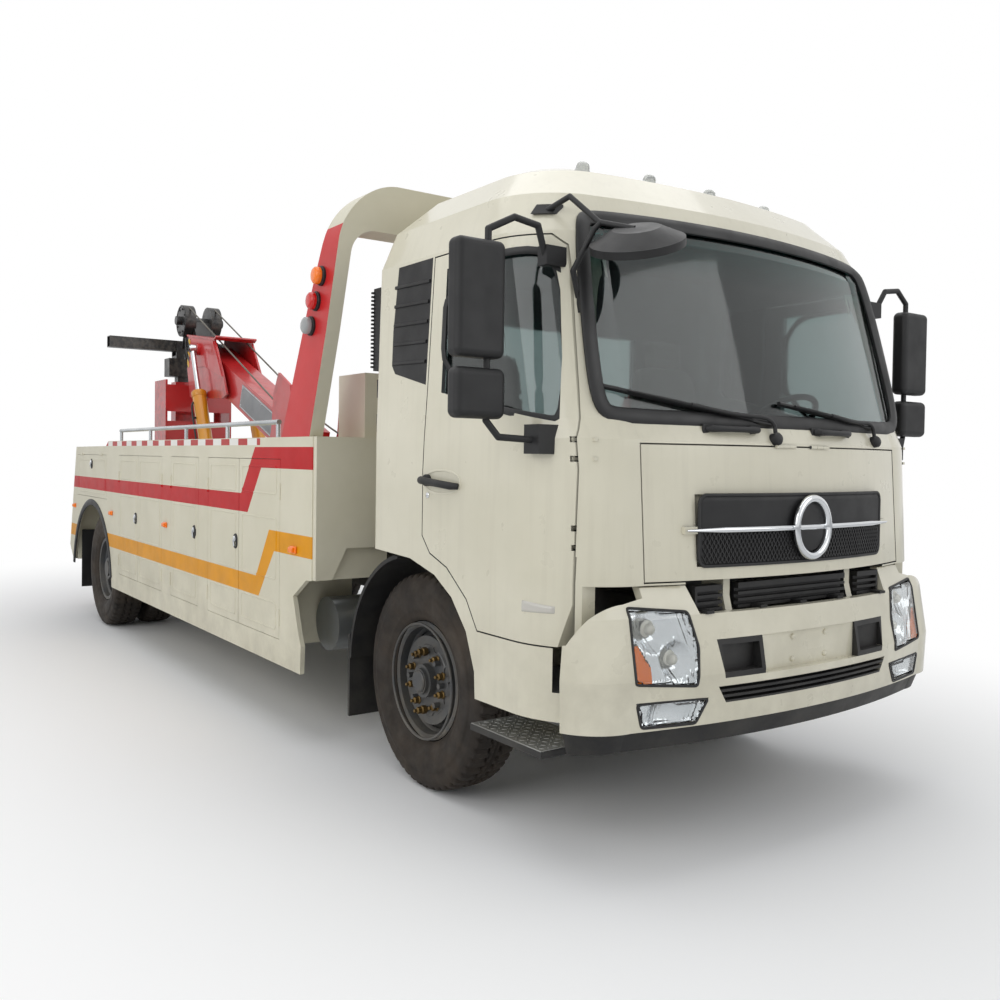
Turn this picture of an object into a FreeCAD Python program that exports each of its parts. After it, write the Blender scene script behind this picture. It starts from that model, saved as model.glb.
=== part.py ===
"""Two-axle road wrecker (tow truck) with a forward-control cab, as a parametric FreeCAD document.

Frame: millimetres, +X forward, +Y to the left of the driver, +Z up, origin on the ground under the
middle of the whole vehicle.  Longitudinal places are written from the front axle with ahead().
"""
import FreeCAD, Part
import math
import os
import Sketcher

Vector = FreeCAD.Vector
doc = FreeCAD.newDocument("tow_truck")

# ----------------------------------------------------------------------------------------------
# driving dimensions: alias, value in millimetres (or degrees), what it is
# ----------------------------------------------------------------------------------------------
SIZES = [
    ("front_axle_x", 2780, "front axle, ahead of the middle of the vehicle"),
    ("wheelbase", 5300, "front axle to rear axle"),
    ("axle_z", 509, "axle height, the loaded tyre radius"),
    ("front_track", 1800, "between the front wheel centres"),
    ("rear_track", 1850, "between the middles of the twin wheels"),
    ("twin_spacing", 310, "between the two wheels of a twin"),
    ("tyre_radius", 509, "to the lug tips"),
    ("tyre_width", 259, "section width"),
    ("rim_radius", 278, "over the rim flange"),
    ("rim_width", 178, "over the flanges"),
    ("stud_circle", 275, "pitch diameter of the wheel studs"),
    ("kingpin_y", 745, "kingpin, from the middle"),
    ("running_gap", 6, "clearance round moving pieces"),
    ("seat_gap", 0.3, "between curved faces that seat on each other"),
    ("rail_y", 430, "outer face of a frame rail"),
    ("rail_flange", 80, "flange width of a frame rail"),
    ("rail_wall", 8, "plate of a frame rail"),
    ("rail_low", 720, "underside of the frame"),
    ("rail_high", 970, "top of the frame"),
    ("half_width", 1245, "body side, from the middle"),
    ("cab_half", 1150, "cab side at the door, from the middle"),
    ("cab_back", -265, "rear wall of the cab, from the front axle"),
    ("cab_front", 1385, "front of the cab at the middle, from the front axle"),
    ("cab_wall", 50, "thickness of cab walls and doors"),
    ("cab_sill", 600, "lowest edge of the cab"),
    ("cab_floor", 1200, "cab floor"),
    ("roof_seam", 2450, "where the roof meets the cab"),
    ("roof_top", 2850, "top of the roof"),
    ("belt", 1715, "lower edge of the windscreen"),
    ("cab_pivot_x", 1300, "cab tilt axis, from the front axle"),
    ("cab_pivot_z", 950, "cab tilt axis, height"),
    ("bumper_front", 1440, "front of the bumper at the middle"),
    ("bumper_low", 565, "lower edge of the bumper"),
    ("bumper_shelf", 980, "top of the bumper at the middle"),
    ("bumper_horn", 1085, "top of the bumper beside the headlamps"),
    ("bumper_wall", 35, "depth of the bumper skin"),
    ("body_front", -730, "front end of the body, from the front axle"),
    ("body_rear", -6450, "rear end of the body, from the front axle"),
    ("body_top", 1660, "top edge of the body sides"),
    ("body_low", 400, "lower edge of the body sides"),
    ("locker_depth", 440, "depth of the side lockers"),
    ("side_wall", 25, "thickness of body walls and locker doors"),
    ("door_gap", 6, "gap round a door"),
    ("locker_low", 540, "lower edge of the locker doors"),
    ("locker_high", 1540, "upper edge of the locker doors"),
    ("arch_x", -5550, "middle of the rear wheel arch, from the front axle"),
    ("arch_z", 380, "middle of the rear wheel arch, height"),
    ("arch_radius", 730, "rear wheel arch"),
    ("deck_z", 1200, "deck between the lockers"),
    ("portal_top", 2900, "top of the portal arch"),
    ("portal_leg", 75, "thickness of the portal legs"),
    ("boom_angle", 21, "slope of the boom at rest, degrees"),
    ("boom_foot_x", -3400, "boom foot pin, from the front axle"),
    ("boom_foot_z", 1590, "boom foot pin, height"),
    ("boom_height", 280, "outer boom section height"),
    ("boom_width", 280, "outer boom section width"),
    ("boom_length", 2560, "foot pin to the mouth of the outer boom"),
    ("inner_height", 200, "inner boom section height"),
    ("inner_width", 200, "inner boom section width"),
    ("head_half", 195, "outer face of the boom head cheeks"),
    ("sheave_radius", 165, "outside of the sheave housings"),
    ("rope_y", 135, "ropes, from the middle"),
    ("lift_y", 270, "lift cylinders, from the middle"),
    ("lift_base_x", -4970, "lower pin of the lift cylinders, from the front axle"),
    ("lift_base_z", 950, "lower pin of the lift cylinders, height"),
    ("lift_eye_x", -5720, "rod eye of the lift cylinders, from the front axle"),
    ("lift_eye_z", 2600, "rod eye of the lift cylinders, height"),
    ("barrel_length", 1330, "lower pin to the gland of a lift cylinder"),
    ("barrel_radius", 65, "lift cylinder barrel"),
    ("rod_radius", 24, "lift cylinder rod"),
    ("mast_half", 350, "outer face of the rear mast plates"),
    ("mast_wall", 20, "plate of the rear mast"),
    ("mast_low", 600, "foot of the rear mast"),
    ("mast_high", 2330, "top of the rear mast"),
    ("mast_front", -6330, "front of the rear mast, from the front axle"),
    ("mast_rear", -6720, "rear of the rear mast plates, from the front axle"),
    ("arm_pin_x", -6830, "underlift hinge pin, from the front axle"),
    ("arm_pin_z", 1100, "underlift hinge pin, height"),
    ("arm_top", 2340, "upper end of the underlift arm when folded"),
    ("arm_depth", 160, "underlift arm section, fore and aft"),
    ("arm_width", 240, "underlift arm section, across"),
    ("stinger_depth", 120, "underlift extension section, fore and aft"),
    ("stinger_width", 180, "underlift extension section, across"),
    ("crossbar_z", 2740, "crossbar swivel pin, height when folded"),
    ("crossbar_half", 780, "half length of the crossbar"),
    ("crossbar_side", 118, "section of the crossbar"),
    ("rear_extent", -7000, "rearmost point, from the front axle"),
]

sheet = doc.addObject("Spreadsheet::Sheet", "size")
for line, (alias, amount, meaning) in enumerate(SIZES, 1):
    sheet.set("A%d" % line, alias)
    sheet.set("B%d" % line, str(amount))
    sheet.setAlias("B%d" % line, alias)
    sheet.set("C%d" % line, meaning)
doc.recompute()


class Size:
    """A dimension that carries its number and the spreadsheet expression it comes from."""

    def __init__(self, number, text):
        self.number = float(number)
        self.text = text

    def __float__(self):
        return self.number

    def __add__(self, other):
        return Size(self.number + float(other), "(%s + %s)" % (self.text, text_of(other)))

    __radd__ = __add__

    def __sub__(self, other):
        return Size(self.number - float(other), "(%s - %s)" % (self.text, text_of(other)))

    def __rsub__(self, other):
        return Size(float(other) - self.number, "(%s - %s)" % (text_of(other), self.text))

    def __mul__(self, other):
        return Size(self.number * float(other), "(%s * %s)" % (self.text, text_of(other)))

    __rmul__ = __mul__

    def __truediv__(self, other):
        return Size(self.number / float(other), "(%s / %s)" % (self.text, text_of(other)))

    def __neg__(self):
        return Size(-self.number, "(-%s)" % self.text)

    def __lt__(self, other):
        return self.number < float(other)


def text_of(amount):
    return amount.text if isinstance(amount, Size) else "%.6g" % amount


def size(alias):
    return Size(sheet.get(alias), "size.%s" % alias)


def ahead(distance):
    """Longitudinal place given from the front axle, positive forward."""
    return size("front_axle_x") + distance


def bind(obj, prop, amount):
    """Give a property its number and, where it has one, its expression."""
    if isinstance(amount, Size):
        obj.setExpression(prop, amount.text)


def place(obj, x=0, y=0, z=0, rotation=None):
    turn = rotation or FreeCAD.Rotation()
    obj.Placement = FreeCAD.Placement(Vector(float(x), float(y), float(z)), turn)
    bind(obj, "Placement.Base.x", x)
    bind(obj, "Placement.Base.y", y)
    bind(obj, "Placement.Base.z", z)


def across(side, inner, outer):
    """The (low, high) pair of a stretch from inner to outer on one side; side is -1 right, +1 left."""
    ends = (side * inner, side * outer)
    return ends if float(ends[0]) < float(ends[1]) else (ends[1], ends[0])


counter = [0]


def new(kind, stem="shape"):
    counter[0] += 1
    return doc.addObject(kind, "%s_%d" % (stem, counter[0]))


def block(x, y, z):
    """Rectangular block from (low, high) pairs."""
    obj = new("Part::Box", "block")
    for prop, (low, high) in zip(("Length", "Width", "Height"), (x, y, z)):
        setattr(obj, prop, float(high) - float(low))
        bind(obj, prop, high - low if isinstance(high, Size) else Size(high, text_of(high)) - low)
    place(obj, x[0], y[0], z[0])
    return obj


AXIS_TURN = {
    "x": FreeCAD.Rotation(Vector(0, 1, 0), 90),
    "y": FreeCAD.Rotation(Vector(1, 0, 0), -90),
    "z": FreeCAD.Rotation(),
}


def round_bar(axis, span, first, second, radius):
    """Cylinder along an axis over span; first and second are the other two coordinates in order."""
    obj = new("Part::Cylinder", "bar")
    obj.Radius = float(radius)
    bind(obj, "Radius", radius)
    obj.Height = float(span[1]) - float(span[0])
    bind(obj, "Height", Size(span[1], text_of(span[1])) - span[0])
    spot = {"x": (span[0], first, second), "y": (first, span[0], second), "z": (first, second, span[0])}
    place(obj, *spot[axis], rotation=AXIS_TURN[axis])
    return obj


def fuse(*pieces):
    if len(pieces) == 1:
        return pieces[0]
    obj = new("Part::MultiFuse", "fuse")
    obj.Shapes = list(pieces)
    return obj


def cut(base, *tools):
    obj = new("Part::Cut", "cut")
    obj.Base = base
    obj.Tool = fuse(*tools)
    return obj


def common(first, second):
    obj = new("Part::MultiCommon", "common")
    obj.Shapes = [first, second]
    return obj


def free(shape, stem="form"):
    obj = new("Part::Feature", stem)
    obj.Shape = shape
    return obj


PLANES = {  # name: (origin plane, sign of the sketch normal along the third axis)
    "xz": ("XZ_Plane", -1),
    "yz": ("YZ_Plane", 1),
    "xy": ("XY_Plane", 1),
}


def body_with_sketch(plane, outline, offset):
    """A PartDesign body with a closed sketch whose corners are bound to the sheet."""
    body = new("PartDesign::Body", "body")
    role, sign = PLANES[plane]
    base = [item for item in body.Origin.OriginFeatures if item.Role == role][0]
    sketch = body.newObject("Sketcher::SketchObject", "outline_%d" % counter[0])
    sketch.AttachmentSupport = [(base, "")]
    sketch.MapMode = "FlatFace"
    sketch.AttachmentOffset = FreeCAD.Placement(Vector(0, 0, sign * float(offset)), FreeCAD.Rotation())
    bind(sketch, "AttachmentOffset.Base.z", sign * offset if isinstance(offset, Size) else offset)
    corners = [Vector(float(u), float(w), 0) for u, w in outline]
    count = len(corners)
    for index in range(count):
        sketch.addGeometry(Part.LineSegment(corners[index], corners[(index + 1) % count]))
    for index in range(count):
        joined = Sketcher.Constraint("Coincident", index, 2, (index + 1) % count, 1)
        sketch.addConstraint(joined)
    for index, (u, w) in enumerate(outline):
        for kind, amount in (("DistanceX", u), ("DistanceY", w)):
            number = sketch.addConstraint(Sketcher.Constraint(kind, -1, 1, index, 1, float(amount)))
            bind(sketch, "Constraints[%d]" % number, amount)
    return body, sketch


def plate(plane, outline, span, rounds=()):
    """Outline padded over span along the plane's normal; rounds lists (corner number, radius)."""
    start = span[1] if PLANES[plane][1] < 0 else span[0]
    body, sketch = body_with_sketch(plane, outline, start)
    pad = body.newObject("PartDesign::Pad", "pad_%d" % counter[0])
    pad.Profile = sketch
    pad.Length = float(span[1]) - float(span[0])
    bind(pad, "Length", Size(span[1], text_of(span[1])) - span[0])
    radii = {}
    for corner, radius in rounds:
        radii.setdefault(float(radius), [radius, []])[1].append(corner)
    last = pad
    for radius, corners in radii.values():
        doc.recompute()
        edges = corner_edges(last.Shape, plane, [outline[corner] for corner in corners])
        fillet = body.newObject("PartDesign::Fillet", "round_%d" % counter[0])
        fillet.Base = (last, edges)
        fillet.Radius = float(radius)
        bind(fillet, "Radius", radius)
        last = fillet
    body.Tip = last
    return body


def corner_edges(shape, plane, corners):
    """Names of the straight edges that stand on the given sketch corners."""
    pick = {"xz": (0, 2), "yz": (1, 2), "xy": (0, 1)}[plane]
    wanted = [(float(u), float(w)) for u, w in corners]
    names = []
    for number, edge in enumerate(shape.Edges, 1):
        if len(edge.Vertexes) != 2:
            continue
        ends = [(vertex.Point[pick[0]], vertex.Point[pick[1]]) for vertex in edge.Vertexes]
        for u, w in wanted:
            if all(abs(end[0] - u) < 0.01 and abs(end[1] - w) < 0.01 for end in ends):
                names.append("Edge%d" % number)
    return names


def turned(outline):
    """Ring from a closed (y, radius) outline turned round the Y axis."""
    body, sketch = body_with_sketch("yz", outline, 0)
    ring = body.newObject("PartDesign::Revolution", "turn_%d" % counter[0])
    ring.Profile = sketch
    ring.ReferenceAxis = (sketch, ["H_Axis"])
    ring.Angle = 360
    body.Tip = ring
    return body


nodes = []


def node(label, obj):
    """Register a finished sub-part: its label names its file."""
    obj.Label = label
    nodes.append(obj)
    return obj


SIDES = (("right", -1), ("left", 1))

# values used in many places
gap = size("running_gap")
seat = size("seat_gap")
axle_z = size("axle_z")
rail_y = size("rail_y")
rail_low = size("rail_low")
rail_high = size("rail_high")
rail_wall = size("rail_wall")
rear_axle = ahead(-size("wheelbase"))
half = size("half_width")
deck_z = size("deck_z")
body_top = size("body_top")


# ----------------------------------------------------------------------------------------------
# chassis
# ----------------------------------------------------------------------------------------------
def channel_rail(side):
    """C-section rail, open to the inside."""
    x = (ahead(size("mast_front")) + seat, ahead(1250))
    outer = block(x, across(side, rail_y - size("rail_flange"), rail_y), (rail_low, rail_high))
    hollow_y = across(side, rail_y - size("rail_flange") - 1, rail_y - rail_wall)
    return cut(outer, block((x[0] - 1, x[1] + 1), hollow_y, (rail_low + rail_wall, rail_high - rail_wall)))


def build_chassis():
    pieces = [channel_rail(side) for name, side in SIDES]
    inner = rail_y - rail_wall
    # crossmembers: place from the front axle, half length along X, lower and upper height
    for x, reach, low, high in ((1200, 45, 745, 945), (-1500, 40, 860, 930), (-2700, 40, 760, 930),
                                (-4200, 40, 760, 930), (-4970, 60, 760, 860),
                                (-6200, 50, 740, 950)):
        beam = block((ahead(x - reach), ahead(x + reach)), (-inner, inner),
                     (rail_low + low - 720, rail_low + high - 720))
        slot = block((ahead(x - reach + 10), ahead(x + reach + 1)), (-inner - 1, inner + 1),
                     (rail_low + low - 710, rail_low + high - 730))
        pieces.append(cut(beam, slot))
    pivot_x = ahead(size("cab_pivot_x"))
    pivot_z = size("cab_pivot_z")
    for name, side in SIDES:
        for inner_y in (356, 414):
            cheek_y = across(side, inner_y, inner_y + 16)
            cheek = block((ahead(1180), pivot_x + 26), cheek_y, (rail_low + 60, pivot_z))
            eye = round_bar("y", cheek_y, pivot_x, pivot_z, 26)
            pieces.append(fuse(cheek, eye))
        pieces.append(round_bar("y", across(side, 350, 436), pivot_x, pivot_z, 14))
        # rear cab rest, and the ears that carry the lift cylinders' cross shaft
        rest_z = (rail_high, size("cab_floor") - 60 - seat)
        pieces.append(block((ahead(-225), ahead(-145)), across(side, 365, 425), rest_z))
        ear_y = across(side, 309, 329)
        base_x = ahead(size("lift_base_x"))
        base_z = size("lift_base_z")
        ear = fuse(block((base_x - 60, base_x + 60), ear_y, (rail_low + 60, base_z)),
                   round_bar("y", ear_y, base_x, base_z, 60),
                   block((base_x - 60, base_x + 60), across(side, 309, 352), (rail_low + 60, rail_low + 100)))
        pieces.append(cut(ear, round_bar("y", across(side, 300, 350), base_x, base_z, 25)))
    node("chassis_frame", fuse(*pieces))


def build_engine():
    crank = block((ahead(-480), ahead(560)), (-230, 230), (600, 1020))
    head = block((ahead(-450), ahead(520)), (-190, 190), (1010, 1360))
    bell = round_bar("x", (ahead(-760), ahead(-470)), 0, 800, 210)
    gears = block((ahead(-1300), ahead(-750)), (-160, 160), (640, 960))
    fan = round_bar("x", (ahead(550), ahead(640)), 0, 930, 250)
    radiator = block((ahead(638), ahead(740)), (-330, 330), (600, 1130))
    reach = rail_y - rail_wall
    mounts = block((ahead(-60), ahead(40)), (-reach, reach), (rail_low + 130, rail_low + 200))
    node("engine_and_gearbox", fuse(crank, head, bell, gears, fan, radiator, mounts))


def leaf_pack(middle_x, side, y, seat_z, reach):
    """Leaf spring: three steps of leaves, cambered up to eyes under the rail."""
    yy = across(side, y - 38, y + 38)
    eye_z = rail_low - 45
    steps = []
    for share, thick in ((1.0, 16), (0.75, 34), (0.5, 52)):
        span = reach * share
        rise = (eye_z - seat_z) * (share * share)
        outline = [
            (middle_x - span, seat_z + rise), (middle_x - span * 0.5, seat_z + rise * 0.3),
            (middle_x, seat_z), (middle_x + span * 0.5, seat_z + rise * 0.3),
            (middle_x + span, seat_z + rise), (middle_x + span, seat_z + rise - thick),
            (middle_x + span * 0.5, seat_z + rise * 0.3 - thick), (middle_x, seat_z - thick),
            (middle_x - span * 0.5, seat_z + rise * 0.3 - thick), (middle_x - span, seat_z + rise - thick),
        ]
        steps.append(plate("xz", outline, yy))
    for direction in (-1, 1):
        hanger_x = middle_x + direction * reach
        steps.append(round_bar("y", yy, hanger_x, eye_z - 6, 24))
        steps.append(block((hanger_x - 30, hanger_x + 30), yy, (eye_z, rail_low - seat)))
    return fuse(*steps)


def build_front_axle():
    middle = size("front_axle_x")
    pin_y = size("kingpin_y")
    low = axle_z - 75
    outline = [
        (-pin_y, axle_z - 38), (-pin_y + 90, axle_z - 38), (-520, low - 30), (520, low - 30),
        (pin_y - 90, axle_z - 38), (pin_y, axle_z - 38), (pin_y, axle_z + 38), (pin_y - 90, axle_z + 38),
        (500, low + 50), (-500, low + 50), (-pin_y + 90, axle_z + 38), (-pin_y, axle_z + 38),
    ]
    beam = plate("yz", outline, (middle - 40, middle + 40))
    groove_outline = [(-500, low - 8), (500, low - 8), (500, low + 28), (-500, low + 28)]
    for span in ((middle - 41, middle - 14), (middle + 14, middle + 41)):
        beam = cut(beam, plate("yz", groove_outline, span))
    eyes = [round_bar("z", (axle_z - 42, axle_z + 42), middle, side * pin_y, 44) for name, side in SIDES]
    bores = [round_bar("z", (axle_z - 60, axle_z + 60), middle, side * pin_y, 20 + seat)
             for name, side in SIDES]
    axle = cut(fuse(beam, *eyes), *bores)
    springs = [leaf_pack(middle, side, 400, low + 102, 700) for name, side in SIDES]
    seats = [block((middle - 60, middle + 60), across(side, 355, 445), (low + 46, low + 55))
             for name, side in SIDES]
    node("front_axle", fuse(axle, *(springs + seats)))


def build_rear_axle():
    reach = size("rear_track") / 2 - size("twin_spacing") / 2 - 75
    tube = round_bar("y", (-reach, reach), rear_axle, axle_z, 68)
    spindle = round_bar("y", (-(reach + 330), reach + 330), rear_axle, axle_z, 42)
    bowl = round_bar("x", (rear_axle - 120, rear_axle + 190), 0, axle_z, 200)
    nose = round_bar("x", (rear_axle + 180, rear_axle + 330), 0, axle_z + 10, 75)
    springs = [leaf_pack(rear_axle, side, 390, axle_z + 118, 720) for name, side in SIDES]
    seats = [block((rear_axle - 70, rear_axle + 70), across(side, 345, 435), (axle_z + 50, axle_z + 70))
             for name, side in SIDES]
    start = Vector(float(ahead(-1307)), 0, 800)
    end = Vector(float(rear_axle) + 325, 0, float(axle_z) + 10)
    length = Size((end - start).Length, "%.6g" % (end - start).Length)
    shaft = new("Part::Cylinder", "shaft")
    shaft.Radius = 52
    shaft.Height = float(length)
    shaft.Placement = FreeCAD.Placement(start, FreeCAD.Rotation(Vector(0, 0, 1), end - start))
    node("rear_axle", fuse(tube, spindle, bowl, nose, shaft, *(springs + seats)))


def build_tanks():
    silencer = round_bar("y", (-1030, -640), ahead(-988), 635, 147)
    outlet = round_bar("z", (330, 635), ahead(-1020), -820, 32)
    hanger = block((ahead(-1035), ahead(-965)), (-660, -(rail_y + seat)), (620, 780))
    air = round_bar("y", (640, 1030), ahead(-988), 635, 140)
    air_hanger = block((ahead(-1035), ahead(-965)), (rail_y + seat, 660), (620, 780))
    fuel = block((ahead(-3000), ahead(-1650)), (rail_y + 30, rail_y + 300), (480, 1000))
    straps = [block((ahead(x - 30), ahead(x + 30)), (rail_y + seat, rail_y + 306), (474, 1006))
              for x in (-1900, -2750)]
    oil = block((ahead(-1060), ahead(-745)), (-940, 0), (body_top + seat, 2008))
    oil_stand = block((ahead(-1040), ahead(-765)), (-780, -20), (deck_z + seat, body_top + 1))
    filler = round_bar("z", (2000, 2040), ahead(-900), -250, 60)
    node("tanks", fuse(silencer, outlet, hanger, air, air_hanger, fuel, oil, oil_stand, filler, *straps))


# ----------------------------------------------------------------------------------------------
# wheels, knuckles
# ----------------------------------------------------------------------------------------------
def tyre(middle_x, middle_y):
    """Radial tyre as a solid ring: bead, bulging wall, shoulder, slightly crowned tread."""
    wide = size("tyre_width") / 2
    outer = size("tyre_radius")
    bead = size("rim_radius") - 20
    flange = size("rim_width") / 2
    outline = []
    for side in (-1, 1):
        wall = [
            (side * (flange - 15), bead + seat), (side * (flange - 11), bead + 22),
            (side * (flange + 3), bead + 30), (side * wide * 0.93, bead + 74), (side * wide, bead + 118),
            (side * wide * 0.97, outer - 62), (side * wide * 0.86, outer - 16), (side * wide * 0.76, outer),
        ]
        outline += wall if side < 0 else wall[::-1]
    ring = turned(outline)
    place(ring, middle_x, middle_y, axle_z)
    return ring


def rim(side, middle_x, middle_y, dish):
    """Rim with its disc; dish is where the disc's mounting face lies, outward from the rim's middle."""
    wide = size("rim_width") / 2
    edge = size("rim_radius")
    out = side
    well = edge - 36
    barrel = turned([
        (-wide, edge), (-wide + 10, edge), (-wide + 14, edge - 20), (-wide + 46, edge - 22),
        (-wide + 60, well), (wide - 60, well), (wide - 46, edge - 22), (wide - 14, edge - 20),
        (wide - 10, edge), (wide, edge), (wide - 2, edge - 26), (wide - 42, edge - 32),
        (wide - 56, well - 9), (-wide + 56, well - 9), (-wide + 42, edge - 32), (-wide + 2, edge - 26),
    ])
    face = out * dish
    foot = Size(out * 20, "%d" % (out * 20))
    bend = face * 0.45 + foot * 0.55
    thick = -out * 14
    disc = turned([
        (face, 60), (face, 165), (bend, 198), (foot, well - 8),
        (foot + thick, well - 8), (bend + thick, 198), (face + thick, 162), (face + thick, 60),
    ])
    holes = []
    for index in range(8):
        turn = math.radians(index * 45 + 22.5)
        holes.append(round_bar("y", (face - 120, face + 120), 178 * math.sin(turn), 178 * math.cos(turn), 26))
    wheel = fuse(barrel, cut(disc, *holes))
    return wheel


def build_wheels():
    for name, side in SIDES:
        # front: the disc stands out past the middle of the rim, the hub comes through it
        middle_y = side * size("front_track") / 2
        node("front_tyre_" + name, tyre(size("front_axle_x"), middle_y))
        front_rim = rim(side, 0, 0, Size(78, "78"))
        hub = round_bar("y", across(side, -60, 112), 0, 0, 78)
        cap = round_bar("y", across(side, 110, 128), 0, 0, 60)
        drum = round_bar("y", across(side, -92, 74), 0, 0, 208)
        drum_space = round_bar("y", across(side, -94, 60), 0, 0, 196)
        bore = round_bar("y", across(side, -120, 95), 0, 0, 36 + seat)
        studs = [round_bar("y", across(side, 70, 108), 137.5 * math.sin(math.radians(45 * i)),
                           137.5 * math.cos(math.radians(45 * i)), 13) for i in range(8)]
        shape = cut(fuse(front_rim, cut(drum, drum_space), hub, cap, *studs), bore)
        place(shape, size("front_axle_x"), middle_y, axle_z)
        node("front_rim_" + name, shape)

        # rear: two wheels back to back, the outer one dished inward
        twin_y = side * size("rear_track") / 2
        offset = size("twin_spacing") / 2
        tyres = fuse(tyre(rear_axle, twin_y - offset), tyre(rear_axle, twin_y + offset))
        node("rear_tyres_" + name, tyres)
        outer_rim = rim(-side, 0, 0, Size(126, "126"))
        place(outer_rim, 0, side * offset, 0)
        inner_rim = rim(side, 0, 0, Size(126, "126"))
        place(inner_rim, 0, -side * offset, 0)
        rear_hub = round_bar("y", across(side, -70, 235), 0, 0, 95)
        flange = round_bar("y", across(side, 232, 246), 0, 0, 70)
        rear_drum = round_bar("y", across(side, -250, -16), 0, 0, 208)
        rear_space = round_bar("y", across(side, -252, -30), 0, 0, 194)
        rear_bore = round_bar("y", across(side, -300, 190), 0, 0, 42 + seat)
        rear_studs = [round_bar("y", across(side, -30, 80), 137.5 * math.sin(math.radians(45 * i)),
                                137.5 * math.cos(math.radians(45 * i)), 13) for i in range(8)]
        joined = fuse(outer_rim, inner_rim, cut(rear_drum, rear_space), rear_hub, flange, *rear_studs)
        shape = cut(joined, rear_bore)
        place(shape, rear_axle, twin_y, axle_z)
        node("rear_rims_" + name, shape)


def build_knuckles():
    pin_y = size("kingpin_y")
    x = size("front_axle_x")
    for name, side in SIDES:
        y = side * pin_y
        jaws = []
        for low, high in ((48, 78), (-78, -48)):
            jaw = round_bar("z", (axle_z + low, axle_z + high), x, y, 42)
            arm = block((x - 40, x + 40), across(side, pin_y, pin_y + 78), (axle_z + low, axle_z + high))
            jaws += [jaw, arm]
        pin = round_bar("z", (axle_z - 80, axle_z + 80), x, y, 20)
        web = block((x - 40, x + 40), across(side, pin_y + 56, pin_y + 78), (axle_z - 78, axle_z + 78))
        shield = round_bar("y", across(side, pin_y + 70, pin_y + 76), x, axle_z, 188)
        stub = round_bar("y", across(side, pin_y + 70, pin_y + 235), x, axle_z, 36)
        lever = block((x - 190, x - 30), across(side, pin_y - 12, pin_y + 26), (axle_z - 78, axle_z - 52))
        node("knuckle_" + name, fuse(pin, web, shield, stub, lever, *jaws))


# ----------------------------------------------------------------------------------------------
# cab
# ----------------------------------------------------------------------------------------------
def cab_wire(height, rear, front, width, corner_x, corner_y, bend_x, inset):
    """One horizontal section of the cab: rear corners, sides, front corners, bowed front."""
    z = float(height)
    w = width - inset
    back = rear + inset
    nose = front - inset
    tip_x = corner_x - inset
    tip_y = corner_y - inset * 0.4
    rise = tip_x - bend_x
    drop = w - tip_y
    radius = (rise * rise + drop * drop) / (2 * drop)
    sweep = math.atan2(tip_y - (w - radius), rise)
    middle = (sweep + math.pi / 2) / 2
    mid_x = bend_x + radius * math.cos(middle)
    mid_y = w - radius + radius * math.sin(middle)
    soft = 60
    cut_back = soft * (1 - math.sqrt(0.5))

    def at(x, y):
        return Vector(float(size("front_axle_x")) + x, y, z)

    edges = [
        Part.Arc(at(back, w - soft), at(back + cut_back, w - cut_back), at(back + soft, w)).toShape(),
        Part.LineSegment(at(back + soft, w), at(bend_x, w)).toShape(),
        Part.Arc(at(bend_x, w), at(mid_x, mid_y), at(tip_x, tip_y)).toShape(),
        Part.Arc(at(tip_x, tip_y), at(nose, 0), at(tip_x, -tip_y)).toShape(),
        Part.Arc(at(tip_x, -tip_y), at(mid_x, -mid_y), at(bend_x, -w)).toShape(),
        Part.LineSegment(at(bend_x, -w), at(back + soft, -w)).toShape(),
        Part.Arc(at(back + soft, -w), at(back + cut_back, cut_back - w), at(back, soft - w)).toShape(),
        Part.LineSegment(at(back, soft - w), at(back, w - soft)).toShape(),
    ]
    return Part.Wire(edges)


def cab_sections():
    """Rows of the cab's form: height, rear, front, half width, corner x, corner y, bend x."""
    back = float(size("cab_back"))
    nose = float(size("cab_front"))
    wide = float(size("cab_half"))
    seam = float(size("roof_seam"))
    top = float(size("roof_top"))
    belt = float(size("belt"))
    lower = [
        (float(size("cab_sill")) - 20, back, nose - 5, wide, nose - 112, 800, nose - 485),
        (1100, back, nose, wide, nose - 110, 800, nose - 485),
        (belt - 75, back, nose - 38, wide, nose - 148, 812, nose - 500),
        (belt, back, nose - 75, wide - 2, nose - 186, 830, nose - 530),
        (seam, back, nose - 275, wide - 20, nose - 375, 800, nose - 700),
    ]
    roof = [
        lower[-1],
        (seam + 170, back + 45, nose - 370, wide - 75, nose - 460, 780, nose - 790),
        (top - 90, back + 180, nose - 520, wide - 215, nose - 590, 700, nose - 900),
        (top, back + 420, nose - 790, wide - 420, nose - 830, 540, nose - 1040),
    ]
    return lower, roof


def cab_solid(rows, inset):
    return Part.makeLoft([cab_wire(*row, inset) for row in rows], True, True)


# right-hand outlines on the side of the cab, from the front axle: x, height
DOOR = [(264, 2436), (938, 2436), (982, 2392), (1008, 2289), (1052, 2078), (1106, 1822), (1136, 1671),
        (1149, 1523), (1152, 1020), (1108, 856), (655, 856), (572, 976), (419, 1091), (280, 1140),
        (212, 1215), (212, 1505), (236, 1875)]
DOOR_WINDOW = [(368, 2368), (800, 2372), (922, 2378), (958, 2340), (996, 2209), (1043, 1949), (1072, 1712),
               (1060, 1703), (352, 1840)]
VENT = [(-52, 2436), (250, 2436), (222, 1880), (-58, 1945), (-90, 1985), (-88, 2145)]
WHEEL_OPENING = [(-420, 500), (-420, 1130), (112, 1105), (322, 1052), (461, 972), (575, 845),
                 (640, 690), (652, 500)]


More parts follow.
